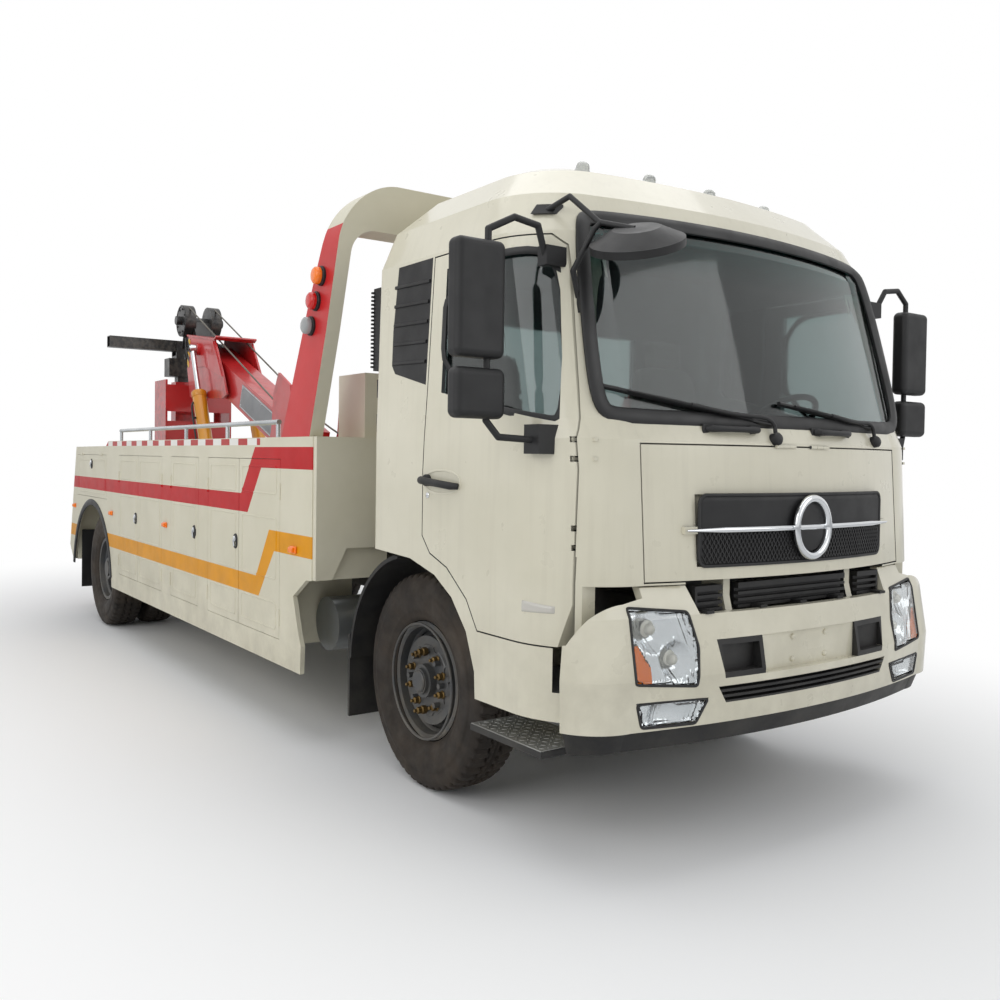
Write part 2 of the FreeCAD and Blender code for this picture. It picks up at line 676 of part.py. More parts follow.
def grown(outline, amount):
    """Outline moved outward (or inward) by a fixed amount, corners kept sharp."""
    count = len(outline)
    area = sum(outline[i][0] * outline[(i + 1) % count][1] - outline[(i + 1) % count][0] * outline[i][1]
               for i in range(count))
    sign = 1 if area > 0 else -1
    result = []
    for i in range(count):
        before, here, after = outline[i - 1], outline[i], outline[(i + 1) % count]
        lines = []
        for start, end in ((before, here), (here, after)):
            dx, dy = end[0] - start[0], end[1] - start[1]
            length = math.hypot(dx, dy)
            nx, ny = sign * dy / length, -sign * dx / length
            lines.append((nx, ny, nx * start[0] + ny * start[1] + amount))
        (a, b, c), (d, e, f) = lines
        det = a * e - b * d
        result.append(((c * e - b * f) / det, (a * f - c * d) / det))
    return result


def side_prism(outline, low, high):
    """Side-view outline (from the front axle) carried across from low to high."""
    start = float(low)
    points = [Vector(float(size("front_axle_x")) + x, start, z) for x, z in outline]
    face = Part.Face(Part.makePolygon(points + points[:1]))
    return face.extrude(Vector(0, float(high) - start, 0))


def front_prism(outline, rear, front):
    """Front-view outline (y, height) carried forward from rear to front (from the front axle)."""
    start = float(size("front_axle_x")) + rear
    points = [Vector(start, y, z) for y, z in outline]
    face = Part.Face(Part.makePolygon(points + points[:1]))
    return face.extrude(Vector(front - rear, 0, 0))


def bundle(shapes, stem):
    """One object of several separate solids."""
    return free(Part.makeCompound([solid for shape in shapes for solid in shape.Solids]), stem)


def solid_box(x, y, z):
    """Plain box shape from (low, high) pairs, x from the front axle."""
    base = Vector(float(size("front_axle_x")) + float(x[0]), float(y[0]), float(z[0]))
    return Part.makeBox(float(x[1]) - float(x[0]), float(y[1]) - float(y[0]), float(z[1]) - float(z[0]), base)


def parted(shape, cells):
    """Shape divided into solids along the faces of the given boxes; what lies in none comes last."""
    solids = []
    for cell in cells:
        solids += shape.common(cell).Solids
        shape = shape.cut(cell)
    kept = []
    for solid in solids + shape.Solids:
        room = solid.BoundBox
        # slivers where two cutting boxes meet are dropped
        if min(room.XLength, room.YLength, room.ZLength) > 0.1:
            kept.append(solid)
    return Part.makeCompound(kept)


def across_floats(side, inner, outer):
    ends = sorted((side * float(inner), side * float(outer)))
    return ends[0], ends[1]


def knuckle_hinge(parent, child, centre, axis, reach, radius, pin):
    """Five-knuckle hinge along axis at centre: the pin and end knuckles stay with parent."""
    direction = Vector(*axis)
    middle = Vector(float(size("front_axle_x")) + centre[0], centre[1], centre[2])
    third = reach / 3.0
    clear = 1.5

    def barrel(start, end, r):
        return Part.makeCylinder(r, end - start, middle + direction * start, direction)

    parent = parent.cut(barrel(-third - 1, third + 1, radius + clear))
    parent = parent.fuse([barrel(-reach, -third - 1, radius), barrel(third + 1, reach, radius),
                          barrel(-reach, reach, pin)])
    child = child.cut([barrel(-reach - 1, -third, radius + clear), barrel(third, reach + 1, radius + clear)])
    child = child.fuse(barrel(-third, third, radius)).cut(barrel(-reach, reach, pin + float(seat)))
    return parent, child


SCREEN_HALF = [(877, 1720), (932, 1744), (958, 1804), (951, 2015), (929, 2311), (904, 2461), (882, 2502),
               (834, 2524)]
SCREEN = SCREEN_HALF + [(-y, z) for y, z in reversed(SCREEN_HALF)]
LID_HALF = 812
LID_LOW = 1105
LID_HIGH = 1622
LID_HINGE_X = 1352
FIREWALL = 1188
WELL_FRONT = 1100
LID_HINGE_Z = 1625
DOOR_HINGE_X = 1115
DOOR_HINGE_Y = 1040
DOOR_HINGES = (1270, 1600)


def door_hinge_bracket(side, z):
    """Pin and two plates that reach round from the inside of the front pillar to a hidden door hinge."""
    x, y = DOOR_HINGE_X, DOOR_HINGE_Y
    pin = Part.makeCylinder(8, 92, Vector(float(ahead(x)), side * y, z - 46))
    plates = []
    for low in (z - 42, z + 30):
        stem = solid_box((x - 9, x + 9), across_floats(side, y - 55, y + 11), (low, low + 12))
        reach = solid_box((x - 9, x + 76), across_floats(side, y - 55, y - 40), (low, low + 12))
        plates += [stem, reach]
    return pin.fuse(plates)


def door_hinge_room(side, z):
    """Space the brackets need inside the door, with the bore for the pin."""
    x, y = DOOR_HINGE_X, DOOR_HINGE_Y
    rooms = [solid_box((x - 20, x + 60), across_floats(side, y - 90, y + 20), (low, low + 22))
             for low in (z - 47, z + 25)]
    bore = Part.makeCylinder(8 + float(seat), 110, Vector(float(ahead(x)), side * y, z - 55))
    return rooms + [bore]


def build_cab():
    wall = float(size("cab_wall"))
    floor = float(size("cab_floor"))
    cab_back = float(size("cab_back"))
    door_gap = float(size("door_gap"))
    lower, roof = cab_sections()
    outer = cab_solid(lower, 0)
    inner = cab_solid(lower, wall)
    roof_outer = cab_solid(roof, 0)
    roof_inner = cab_solid(roof, wall * 0.8)

    above_floor = solid_box((-400, 1500), (-1300, 1300), (floor, 2600))
    cabin = inner.common(above_floor)
    wells = []
    for name, side in SIDES:
        outboard = float(size("cab_half")) - wall
        wells.append(solid_box((720, WELL_FRONT), across_floats(side, 690, outboard), (690, floor + 1)))
        # room for the front edge of the opening door
        wells.append(solid_box((WELL_FRONT - 1, 1154), across_floats(side, 985, outboard), (690, floor + 1)))
    tunnel_space = solid_box((-400, 860), (-345, 345), (900, 1430))
    under = [
        solid_box((-400, 1500), (-640, 640), (500, floor - 60)),
        solid_box((1172, 1500), (-1200, 1200), (500, 1092)),
        solid_box((WELL_FRONT + 18, 1500), (-970, 970), (500, 1092)),
        side_prism(WHEEL_OPENING, -1300, 1300),
        tunnel_space,
    ]
    tunnel = solid_box((-300, 900), (-385, 385), (floor - 60, 1475)).common(outer)
    screen_hole = front_prism(SCREEN, 500, 1600)
    lid_space = solid_box((FIREWALL, 1600), (-LID_HALF - door_gap, LID_HALF + door_gap),
                          (LID_LOW - door_gap, LID_HIGH + door_gap))
    shell = outer.cut(cabin.cut(tunnel))
    shell = shell.cut(wells + under + [screen_hole, lid_space])
    for name, side in SIDES:
        shell = shell.cut(side_prism(DOOR, *across_floats(side, 600, 1300)))
        vent = side_prism(VENT, *across_floats(side, 1000, 1300))
        shell = shell.cut(vent)
        arm_y = across_floats(side, 374, 412)
        pivot = float(size("cab_pivot_z"))
        arm_outline = [(1268, pivot - 34), (1322, pivot - 34), (1322, pivot + 10), (1312, pivot + 35),
                       (1300, pivot + 80), (1300, floor - 20), (FIREWALL, floor - 20),
                       (FIREWALL, pivot + 60), (1268, pivot + 35)]
        arm = side_prism(arm_outline, *arm_y)
        eye = Part.makeCylinder(14.3, 60, Vector(float(ahead(size("cab_pivot_x"))), arm_y[0] - 5,
                                               float(size("cab_pivot_z"))), Vector(0, 1, 0))
        shell = shell.fuse(arm.cut(eye))
    rear_window = solid_box((-400, -150), (-520, 520), (1800, 2250))
    shell = shell.cut(rear_window)
    for name, side in SIDES:
        for z in DOOR_HINGES:
            shell = shell.fuse(door_hinge_bracket(side, z))
    # bulkhead behind the front lid, and the shelf that closes it to the cowl above
    bulkhead = solid_box((FIREWALL - 8, FIREWALL), (-900, 900), (floor - 1, LID_HIGH + 22))
    shelf = solid_box((FIREWALL - 8, 1345), (-900, 900), (LID_HIGH + 14, LID_HIGH + 22))
    shell = shell.fuse([bulkhead.common(outer), shelf.common(cab_solid(lower, 10))])

    roof_cap = roof_outer.cut(roof_inner).cut(screen_hole)
    node("cab_roof", free(roof_cap, "cab_roof"))

    skin = outer.cut(cab_solid(lower, 30))
    lid_box = solid_box((1160, 1600), (-LID_HALF, LID_HALF), (LID_LOW, LID_HIGH))
    lid = skin.common(lid_box)
    grille_recess = solid_box((1160, 1600), (-588, 588), (1156, 1434))
    lid = lid.cut(grille_recess.cut(cab_solid(lower, 22)))
    bright_bar = cab_solid(lower, -14).common(solid_box((1250, 1600), (-648, 648), (1283, 1311)))
    bright_bar = bright_bar.cut(cab_solid(lower, 22))
    lid = lid.fuse(bright_bar)
    # the lid hangs on a short hinge in the seam above it, where the cab's bow is nearly straight
    for y in (-110, 110):
        shell, lid = knuckle_hinge(shell, lid, (LID_HINGE_X, y, LID_HINGE_Z), (0, 1, 0), 60, 7, 3)
    # floor pan, foot wells, tunnel, rear wall, side panels, pillars and cowl are separate pressings
    wide = 1300
    cells = [
        solid_box((-400, cab_back + wall), (-wide, wide), (floor, 2600)),
        solid_box((FIREWALL, 1600), (-640, 640), (500, floor - 20)),
        solid_box((860, FIREWALL), (-640, 640), (500, floor)),
        solid_box((-400, 860), (345, 640), (500, floor)),
        solid_box((-400, 860), (-640, -345), (500, floor)),
        solid_box((860, 905), (-386, 386), (floor, 1480)),
        solid_box((-215, 860), (-386, 386), (1430, 1480)),
        solid_box((-215, 860), (345, 386), (floor, 1430)),
        solid_box((-215, 860), (-386, -345), (floor, 1430)),
    ]
    for name, side in SIDES:
        outboard = across_floats(side, 640, wide)
        cells += [
            solid_box((-400, 112), outboard, (500, floor)),
            solid_box((112, 720), outboard, (500, floor)),
            solid_box((720, WELL_FRONT), outboard, (500, 690)),
            solid_box((720, WELL_FRONT), across_floats(side, 640, 690), (690, floor)),
            solid_box((720, WELL_FRONT), across_floats(side, 690, wide), (690, floor)),
            solid_box((WELL_FRONT, 1172), across_floats(side, 640, 970), (500, 1092)),
            solid_box((WELL_FRONT, 1172), across_floats(side, 970, wide), (500, 1092)),
            solid_box((WELL_FRONT, 1600), outboard, (1092, floor)),
            solid_box((cab_back + wall, 264), across_floats(side, 800, wide), (floor, 2600)),
            solid_box((264, 938), across_floats(side, 800, wide), (2400, 2600)),
        ]
    cells += [
        solid_box((FIREWALL - 8, FIREWALL), (-LID_HALF, LID_HALF), (floor, LID_HIGH + 22)),
        solid_box((FIREWALL, 1600), (-LID_HALF, LID_HALF), (floor, LID_HIGH + 22)),
        solid_box((FIREWALL - 8, 1600), (-LID_HALF, LID_HALF), (LID_HIGH + 22, 2600)),
    ]
    node("cab_shell", free(parted(shell.removeSplitter(), cells), "cab_shell"))
    node("cab_front_lid", free(lid.removeSplitter(), "cab_front_lid"))

    glass_rows = cab_solid(lower, 14).cut(cab_solid(lower, 22))
    roof_glass = cab_solid(roof, 14).cut(cab_solid(roof, 22))
    pane = glass_rows.fuse(roof_glass).common(front_prism(grown(SCREEN, -0.3), 500, 1600))
    rear_pane = solid_box((cab_back + 20, cab_back + 26), (-519.7, 519.7), (1800.3, 2249.7))
    node("cab_glass", bundle([pane.removeSplitter(), rear_pane], "cab_glass"))

    trim = []
    for name, side in SIDES:
        slab = outer.cut(cab_solid(lower, 30)).common(
            side_prism(grown(VENT, -0.3), *across_floats(side, 1000, 1300)))
        trim.append(slab)
    mirror_middle = Vector(float(size("front_axle_x")) + 1250, -860, 2376)
    facing = Vector(-0.25, 0.35, -0.9)
    facing.normalize()
    dish = Part.makeCylinder(178, 30, mirror_middle, facing)
    shell_back = Part.makeCone(176, 90, 45, mirror_middle, facing * -1)
    tube = pipe([(880, -1000, 2535), (985, -968, 2575), (1115, -930, 2457), (1240, -865, 2420)], 11)
    stay = pipe([(1038, -962, 2180), (1050, -1000, 2275), (1105, -945, 2430), (1120, -930, 2452)], 11)
    low_pad = cab_solid(lower, -14).common(solid_box((1041, 1066), (-972, -925), (2120, 2245)))
    high_pad = cab_solid(roof, -14).common(solid_box((850, 912), (-1080, -940), (2520, 2562)))
    carried = dish.fuse([shell_back, tube, stay, low_pad, high_pad])
    carried = carried.cut([cab_solid(lower, -float(seat)), cab_solid(roof, -float(seat))])
    trim.append(carried)
    node("cab_trim", bundle(trim, "cab_trim"))
    return outer, lower


def pipe(points, radius):
    """Round bar through points given from the front axle: straight runs with ball corners."""
    shift = float(size("front_axle_x"))
    spots = [Vector(x + shift, y, z) for x, y, z in points]
    shape = None
    for start, end in zip(spots, spots[1:]):
        run = Part.makeCylinder(radius, (end - start).Length, start, end - start)
        shape = run if shape is None else shape.fuse(run)
    for spot in spots[1:-1]:
        shape = shape.fuse(Part.makeSphere(radius, spot))
    return shape


def build_doors(outer, lower):
    wall = float(size("cab_wall"))
    door_gap = float(size("door_gap"))
    inner = cab_solid(lower, wall)
    pane = cab_solid(lower, 18).cut(cab_solid(lower, 24))
    for name, side in SIDES:
        reach = across_floats(side, 600, 1300)
        leaf = outer.cut(inner).common(side_prism(grown(DOOR, -door_gap), *reach))
        leaf = leaf.cut([side_prism(DOOR_WINDOW, *reach)]
                        + [room for z in DOOR_HINGES for room in door_hinge_room(side, z)])
        node("door_" + name, free(leaf.removeSplitter(), "door"))
        glass = pane.common(side_prism(grown(DOOR_WINDOW, -0.3), *reach))
        node("door_glass_" + name, free(glass, "glass"))
        head = solid_box((925, 1010), across_floats(side, 1275, 1490), (1925, 2355))
        low_head = solid_box((930, 1010), across_floats(side, 1270, 1490), (1705, 1890))
        head = head.makeFillet(28, head.Edges)
        low_head = low_head.makeFillet(28, low_head.Edges)
        arm = pipe([(965, side * 1070, 2340), (985, side * 1120, 2440), (985, side * 1230, 2455),
                    (968, side * 1335, 2400), (968, side * 1335, 1700), (985, side * 1290, 1640),
                    (1030, side * 1160, 1632)], 13)
        foot = solid_box((985, 1075), across_floats(side, 1070, 1172), (1580, 1690))
        high_foot = solid_box((935, 992), across_floats(side, 985, 1082), (2300, 2375))
        bracketed = arm.fuse([head, low_head, foot, high_foot]).cut(cab_solid(lower, -float(seat)))
        node("mirrors_" + name, free(bracketed.removeSplitter(), "mirrors"))


def build_cab_inside():
    floor = float(size("cab_floor"))
    dash_outline = [(880, 1540), (900, 1660), (1060, 1690), (FIREWALL - 8.3, 1600), (1140, 1400), (960, 1400)]
    dash = side_prism(dash_outline, -868, 868)
    stalk = Part.makeCylinder(32, 330, Vector(float(ahead(1010)), 500, 1480), Vector(-0.62, 0, 0.78))
    centre = Vector(float(ahead(1010)), 500, 1480) + Vector(-0.62, 0, 0.78) * (330 / math.hypot(0.62, 0.78))
    wheel = Part.makeTorus(215, 15, centre, Vector(-0.62, 0, 0.78))
    spokes = Part.makeCylinder(200, 12, centre - Vector(-0.62, 0, 0.78) * 6, Vector(-0.62, 0, 0.78))
    gapped = Part.makeCylinder(60, 30, centre - Vector(-0.62, 0, 0.78) * 20, Vector(-0.62, 0, 0.78))
    bar_one = Part.makeBox(30, 420, 14, Vector(-15, -210, -7))
    bar_one.Placement = FreeCAD.Placement(centre, FreeCAD.Rotation(Vector(0, 0, 1), Vector(-0.62, 0, 0.78)))
    node("dashboard", free(dash.fuse([stalk, wheel, gapped, bar_one]), "dashboard"))
    seats = []
    for y in (-640, 640):
        box = solid_box((60, 160), (y - 190, y + 190), (floor + 0.3, floor + 230))
        cushion = solid_box((-20, 480), (y - 240, y + 240), (floor + 230, floor + 360))
        back_outline = [(-120, 280), (20, 280), (-60, 900), (-150, 900)]
        rest_outline = [(-155, 880), (-75, 880), (-90, 1040), (-155, 1040)]
        back = side_prism([(x, floor + z) for x, z in back_outline], y - 230, y + 230)
        rest = side_prism([(x, floor + z) for x, z in rest_outline], y - 130, y + 130)
        seats.append(box.fuse([solid_box((-20, 400), (y - 190, y + 190), (floor + 0.3, floor + 231)),
                               cushion, back, rest]))
    node("seats", bundle(seats, "seats"))


def build_air_intake():
    ribs = [solid_box((-345, -272), (-1105, -985), (1980, 2380))]
    for index in range(20):
        z = 1995 + index * 19
        ribs.append(solid_box((-355, -340), (-1115, -975), (z, z + 9)))
    lower = solid_box((-335, -272), (-1080, -1000), (1300, 1990))
    feet = [solid_box((-350, -265.3), (-1080, -990), (z, z + 90)) for z in (1850, 1680)]
    node("air_intake", free(ribs[0].fuse(ribs[1:] + [lower] + feet), "air_intake"))


# ----------------------------------------------------------------------------------------------
# bumper, lamps, mudguards
# ----------------------------------------------------------------------------------------------
def bumper_wire(height, front, inset):
    """Horizontal section of the bumper: straight ends, round corners, bowed front."""
    wide = float(size("cab_half")) + 2 - inset
    tip_x = front - 105 - inset
    tip_y = 920 - inset * 0.5
    bend_x = front - 340
    rear = bend_x - 60
    rise = tip_x - bend_x
    drop = wide - tip_y
    radius = (rise * rise + drop * drop) / (2 * drop)
    sweep = math.atan2(tip_y - (wide - radius), rise)
    middle = (sweep + math.pi / 2) / 2
    mid_x = bend_x + radius * math.cos(middle)
    mid_y = wide - radius + radius * math.sin(middle)

    def at(x, y):
        return Vector(float(size("front_axle_x")) + x, y, height)

    edges = [
        Part.LineSegment(at(rear, wide), at(bend_x, wide)).toShape(),
        Part.Arc(at(bend_x, wide), at(mid_x, mid_y), at(tip_x, tip_y)).toShape(),
        Part.Arc(at(tip_x, tip_y), at(front - inset, 0), at(tip_x, -tip_y)).toShape(),
        Part.Arc(at(tip_x, -tip_y), at(mid_x, -mid_y), at(bend_x, -wide)).toShape(),
        Part.LineSegment(at(bend_x, -wide), at(rear, -wide)).toShape(),
        Part.LineSegment(at(rear, -wide), at(rear, wide)).toShape(),
    ]
    return Part.Wire(edges)


def bumper_solid(rows, inset):
    return Part.makeLoft([bumper_wire(z, front, inset) for z, front in rows], True, True)


HEADLAMP = [(655, 993), (911, 1018), (911, 743), (640, 717), (622, 860)]
FOGLAMP = [(584, 668), (905, 675), (880, 580), (640, 575)]
PLATE_SEAT_X = 1400


def build_front_end():
    nose = float(size("bumper_front"))
    low = float(size("bumper_low"))
    shelf = float(size("bumper_shelf"))
    horn = float(size("bumper_horn"))
    depth = float(size("bumper_wall"))
    rows = [(low, nose - 10), (low + 190, nose), (shelf, nose - 40), (horn, nose - 95)]
    longer = [(low - 1, nose - 10), (low + 190, nose), (shelf, nose - 40), (horn + 1, nose - 95)]
    outer = bumper_solid(rows, 0)
    inner = bumper_solid(longer, depth)
    skin = outer.cut(inner)
    behind = solid_box((500, 1178), (-1300, 1300), (0, 1500))
    top_cut = front_prism([(-650, 1200), (-600, shelf), (600, shelf), (650, 1200)], 900, 1700)
    # the upper edge falls from the horns to the door
    slope = []
    for name, side in SIDES:
        outline = [(1000, 1200), (1000, 870), (1190, 885), (1300, 1086), (1300, 1200)]
        slope.append(side_prism(outline, *across_floats(side, 830, 1300)))
    skin = skin.cut([behind, top_cut] + slope)
    holes = []
    lamps = []
    for name, side in SIDES:
        for outline in (HEADLAMP, FOGLAMP):
            mirrored = [(side * y, z) for y, z in outline]
            holes.append(front_prism(mirrored, 1150, 1600))
            lens = outer.cut(bumper_solid(rows, depth + 20)).common(
                front_prism(grown(mirrored, -0.3), 1150, 1600))
            lamps.append(lens)
    intake = front_prism([(-500, 640), (500, 640), (540, 705), (-540, 705)], 1200, 1600)
    tow_box = [(300, 735), (509, 735), (535, 882), (300, 882)]
    boxes = [front_prism([(side * y, z) for y, z in tow_box], 1200, 1600) for name, side in SIDES]
    # flat seat for the number plate between the tow boxes, with four screw holes
    plate_room = solid_box((1200, 1600), (-300, 300), (735, 882))
    skin = skin.cut(holes + [intake, plate_room] + boxes)
    screws = [Part.makeCylinder(3.5, 120, Vector(float(ahead(PLATE_SEAT_X - 60)), y, z), Vector(1, 0, 0))
              for y in (-105, 105) for z in (765, 855)]
    panel = solid_box((PLATE_SEAT_X - 16, PLATE_SEAT_X), (-299.7, 299.7), (727, 890)).cut(screws)
    ledge = solid_box((PLATE_SEAT_X - 16, PLATE_SEAT_X + 20), (-299.7, 299.7), (727, 735))
    skin = skin.fuse([panel, ledge])
    bracket = []
    for name, side in SIDES:
        # plate outside the frame rail that carries the bumper, with a lip behind the skin
        y = float(rail_y) + float(seat)
        carrier = [(1060, 745), (1320, 709), (1425, 709), (1425, 731), (1322, 731), (1322, 880), (1060, 880)]
        bracket.append(side_prism(carrier, *across_floats(side, y, y + 14)).common(outer))
    node("front_bumper", free(skin.fuse(bracket).removeSplitter(), "front_bumper"))

    # portal lamps: height of each lamp on the leg; rear lamps on the body's rear face
    for name, side in SIDES:
        for x, z in ((-640, 2470), (-700, 2350), (-760, 2230)):
            foot = Vector(float(ahead(x)), side * (float(half) + 0.3), z)
            lamps.append(Part.makeCylinder(43, 44, foot, Vector(0, side, 0)))
        rear = float(size("body_rear"))
        for low_z, high_z in ((655, 745), (750, 840), (845, 935)):
            y = across_floats(side, 1010, 1190)
            low_x = rear + (low_z - 642) * 170 / 643 - 0.4
            high_x = rear + (high_z - 642) * 170 / 643 - 0.4
            outline = [(low_x, low_z), (high_x, high_z), (high_x - 28, high_z), (low_x - 28, low_z)]
            lamps.append(side_prism(outline, *y))
    node("lamps", bundle(lamps, "lamps"))

    # black trim: valance under the bumper, intake slats, tow boxes
    lip_rows = [(low - 85, nose - 70), (low - 0.3, nose - 35)]
    valance = bumper_solid(lip_rows, 0).cut(bumper_solid(lip_rows, 50)).cut(behind)
    slats = outer.cut(bumper_solid(rows, 45)).common(intake)
    behind_slats = bumper_solid(rows, 30)
    grid = slats.cut([solid_box((1200, 1600), (-560, 560), (z, z + 12)).cut(behind_slats)
                      for z in (648, 670, 692)])
    louvre = solid_box((1270, 1322), (-594, 594), (shelf + 0.3, 1080))
    louvre = louvre.cut([solid_box((1200, 1400), across_floats(side, 348, 440), (900, 1100))
                         for name, side in SIDES])
    feet = [solid_box((1296, 1372), (y - 20, y + 20), (shelf + 0.3, shelf + 12))
            for y in (-560, -250, 0, 250, 560)]
    louvre = louvre.fuse(feet)
    louvre = louvre.cut([solid_box((1300, 1400), (-582, 582), (shelf + z, shelf + z + 14))
                         for z in (12, 38, 64)])
    tow = []
    for box in boxes:
        lined = outer.cut(bumper_solid(rows, 66)).common(box)
        hollow = solid_box((1378, 1600), (-513, 513), (757, 860))
        tow.append(lined.cut(hollow.cut(solid_box((1300, 1700), (-320, 320), (700, 900)))))
    node("bumper_trim", bundle([valance, grid, louvre] + tow, "bumper_trim"))


def build_mudguards():
    pieces = []
    for name, side in SIDES:
        y = across_floats(side, 745, 1085)
        hub = Vector(float(size("front_axle_x")), y[0], 500)
        ring = Part.makeCylinder(610, y[1] - y[0], hub, Vector(0, 1, 0))
        hole = Part.makeCylinder(590, y[1] - y[0], hub, Vector(0, 1, 0))
        quarter = solid_box((-700, -120), y, (520, 1090))
        guard = ring.cut(hole).common(quarter)
        flap = solid_box((-622, -604), y, (215, 640))
        face = float(rail_y) + 0.3
        hanger = solid_box((-590, -540), across_floats(side, face, 760), (760, 800))
        step_plate = solid_box((640, 1110), across_floats(side, 890, 1165), (455, 480))
        frames = []
        for x in (790, 1000):
            frames.append(solid_box((x, x + 40), across_floats(side, face, 1100), (431, 455.1)))
            frames.append(solid_box((x, x + 40), across_floats(side, face, face + 12), (431, 800)))
        pieces += [guard.fuse([flap, hanger]), step_plate.fuse(frames)]
    node("front_mudguards", bundle(pieces, "front_mudguards"))


# ----------------------------------------------------------------------------------------------
# body: side lockers, deck, portal, handrails
# ----------------------------------------------------------------------------------------------
# locker doors: name, rear x, front x, low z, high z, hinge end (rear, front or top)
LOCKER_DOORS = [
    ("arch_flap", -6130, -5000, 1150, 1540, "top"),
    ("locker_a", -4580, -4000, 540, 1540, "rear"),
    ("locker_b", -4000, -3360, 540, 1540, "front"),
    ("locker_c", -3140, -2530, 540, 1540, "rear"),
    ("locker_d", -2340, -1780, 540, 1540, "rear"),
    ("locker_e", -1780, -1150, 540, 1540, "front"),
]
# compartments behind them: rear x, front x, low z, high z
LOCKERS = [(-6130, -5000, 1150, 1540), (-4580, -3360, 540, 1540), (-3140, -2530, 540, 1540),
           (-2340, -1150, 540, 1540)]


def build_body_sides():
    wall = float(size("side_wall"))
    wide = float(half)
    top = float(body_top)
    low = float(size("body_low"))
    front = float(size("body_front"))
    rear = float(size("body_rear"))
    outline = [
        (rear + 263, 1612), (-5030, 1617), (-4950, top), (front, top), (front, 912), (front - 70, 906),
        (front - 235, 805), (front - 160, 610), (front - 128, 549), (front - 136, low), (-4800, low),
        (-6310, low + 117), (rear, low + 242), (rear + 170, 1285),
    ]
    for name, side in SIDES:
        y = across_floats(side, wide - float(size("locker_depth")), wide)
        box = side_prism(outline, *y)
        # the wheel space behind the arch and the arch itself
        arch_at = Vector(float(ahead(size("arch_x"))), side * (wide + 1), float(size("arch_z")))
        arch = Part.makeCylinder(float(size("arch_radius")), wall + 2, arch_at, Vector(0, -side, 0))
        tub = solid_box((-6235, -4700), across_floats(side, wide - wall, wide - 500), (0, 1125))
        skirt_behind = solid_box((-4700, front - 330), across_floats(side, wide - wall, wide - 500), (0, 505))
        hollows = []
        for x0, x1, z0, z1 in LOCKERS:
            hollows.append(solid_box((x0 + 15, x1 - 15), across_floats(side, wide - wall - 0.01, wide - 420),
                                     (z0 + 10, z1 - 10)))
        openings = [solid_box((x0, x1), across_floats(side, wide - wall, wide + 1), (z0, z1))
                    for x0, x1, z0, z1 in LOCKERS]
        front_end = solid_box((-1143, front - 25), across_floats(side, wide - wall, wide - 500), (300, 1630))
        tail = solid_box((rear + 150, -6250), across_floats(side, wide - wall, wide - 420), (640, 1130))
        shape = box.cut([arch, tub, skirt_behind, front_end, tail] + hollows + openings)
        edge = float(size("door_gap")) / 2
        for label, x0, x1, z0, z1, hinge in LOCKER_DOORS:
            leaf = solid_box((x0 + edge, x1 - edge), across_floats(side, wide - wall, wide),
                             (z0 + edge, z1 - edge))
            if hinge == "top":
                places = [(x, side * wide, z1) for x in (x0 + 200, x1 - 200)]
                axis = (1, 0, 0)
            else:
                hinge_x = x0 if hinge == "rear" else x1
                places = [(hinge_x, side * wide, z) for z in (z0 + 120, z1 - 180)]
                axis = (0, 0, 1)
            for spot in places:
                shape, leaf = knuckle_hinge(shape, leaf, spot, axis, 45, 8, 3)
            node("%s_%s" % (label, name), free(leaf, "leaf"))
        # the side is made of panels that meet at the corners of the lockers and over the arch
        joints = (-7000, -4700, -3250, -2435, -1143, -600)
        lengths = list(zip(joints, joints[1:]))
        roof = float(size("locker_high")) - 10
        sill = float(size("locker_low")) + 10
        every = (-1300, 1300)
        cells = [solid_box(x, every, (roof, 1800)) for x in lengths]
        cells.append(solid_box((-7000, -6235), every, (0, roof)))
        for x in ((-6235, LOCKERS[0][0] + 15), (LOCKERS[0][1] - 15, -4700)):
            cells.append(solid_box(x, every, (1160, roof)))
        cells.append(solid_box((-6235, -4700), every, (1125, 1160)))
        cells += [solid_box(x, every, (0, 1125)) for x in ((-6235, -5900), (-5900, -5550), (-5550, -5200),
                                                           (-5200, -4700))]
        liner = across_floats(side, 700, wide - 420)
        cells += [solid_box(x, liner, (505, roof)) for x in lengths[1:-1]]
        cells += [solid_box(x, every, (0, 505)) for x in lengths[1:-1]]
        cells += [solid_box(x, every, (505, sill)) for x in lengths[1:-1]]
        ends = [(-4700, LOCKERS[1][0] + 15)]
        ends += [(one[1] - 15, two[0] + 15) for one, two in zip(LOCKERS[1:], LOCKERS[2:])]
        ends.append((LOCKERS[-1][1] - 15, -1143))
        cells += [solid_box(x, every, (sill, roof)) for x in ends]
        node("body_side_" + name, free(parted(shape.removeSplitter(), cells), "body_side"))


def build_deck():
    inner = half - size("locker_depth")
    front = ahead(size("body_front"))
    rear = ahead(size("mast_front")) + seat
    deck = block((rear, front), (-inner, inner), (deck_z - 40, deck_z))
    slots = [block((ahead(-5250), ahead(-4860)), across(side, 192, 348), (deck_z - 120, deck_z + 20))
             for name, side in SIDES]
    wide = half - 4
    bulkhead = plate("yz", [
        (-wide, body_top), (-wide, 916), (-1148, 916), (-1067, 1078), (1067, 1078),
        (1148, 916), (wide, 916), (wide, body_top),
    ], (front + 0.3, front + 40))
    bearers = [block((rear, front - 60), across(side, 362, 428), (rail_high, deck_z - 40))
               for name, side in SIDES]
    ribs = [block((ahead(x - 30), ahead(x + 30)), (-inner, inner), (deck_z - 110, deck_z - 40))
            for x in (-1300, -2300, -3300, -4300, -5300, -6200)]
    node("body_deck", fuse(cut(deck, *slots), bulkhead, *(bearers + ribs)))


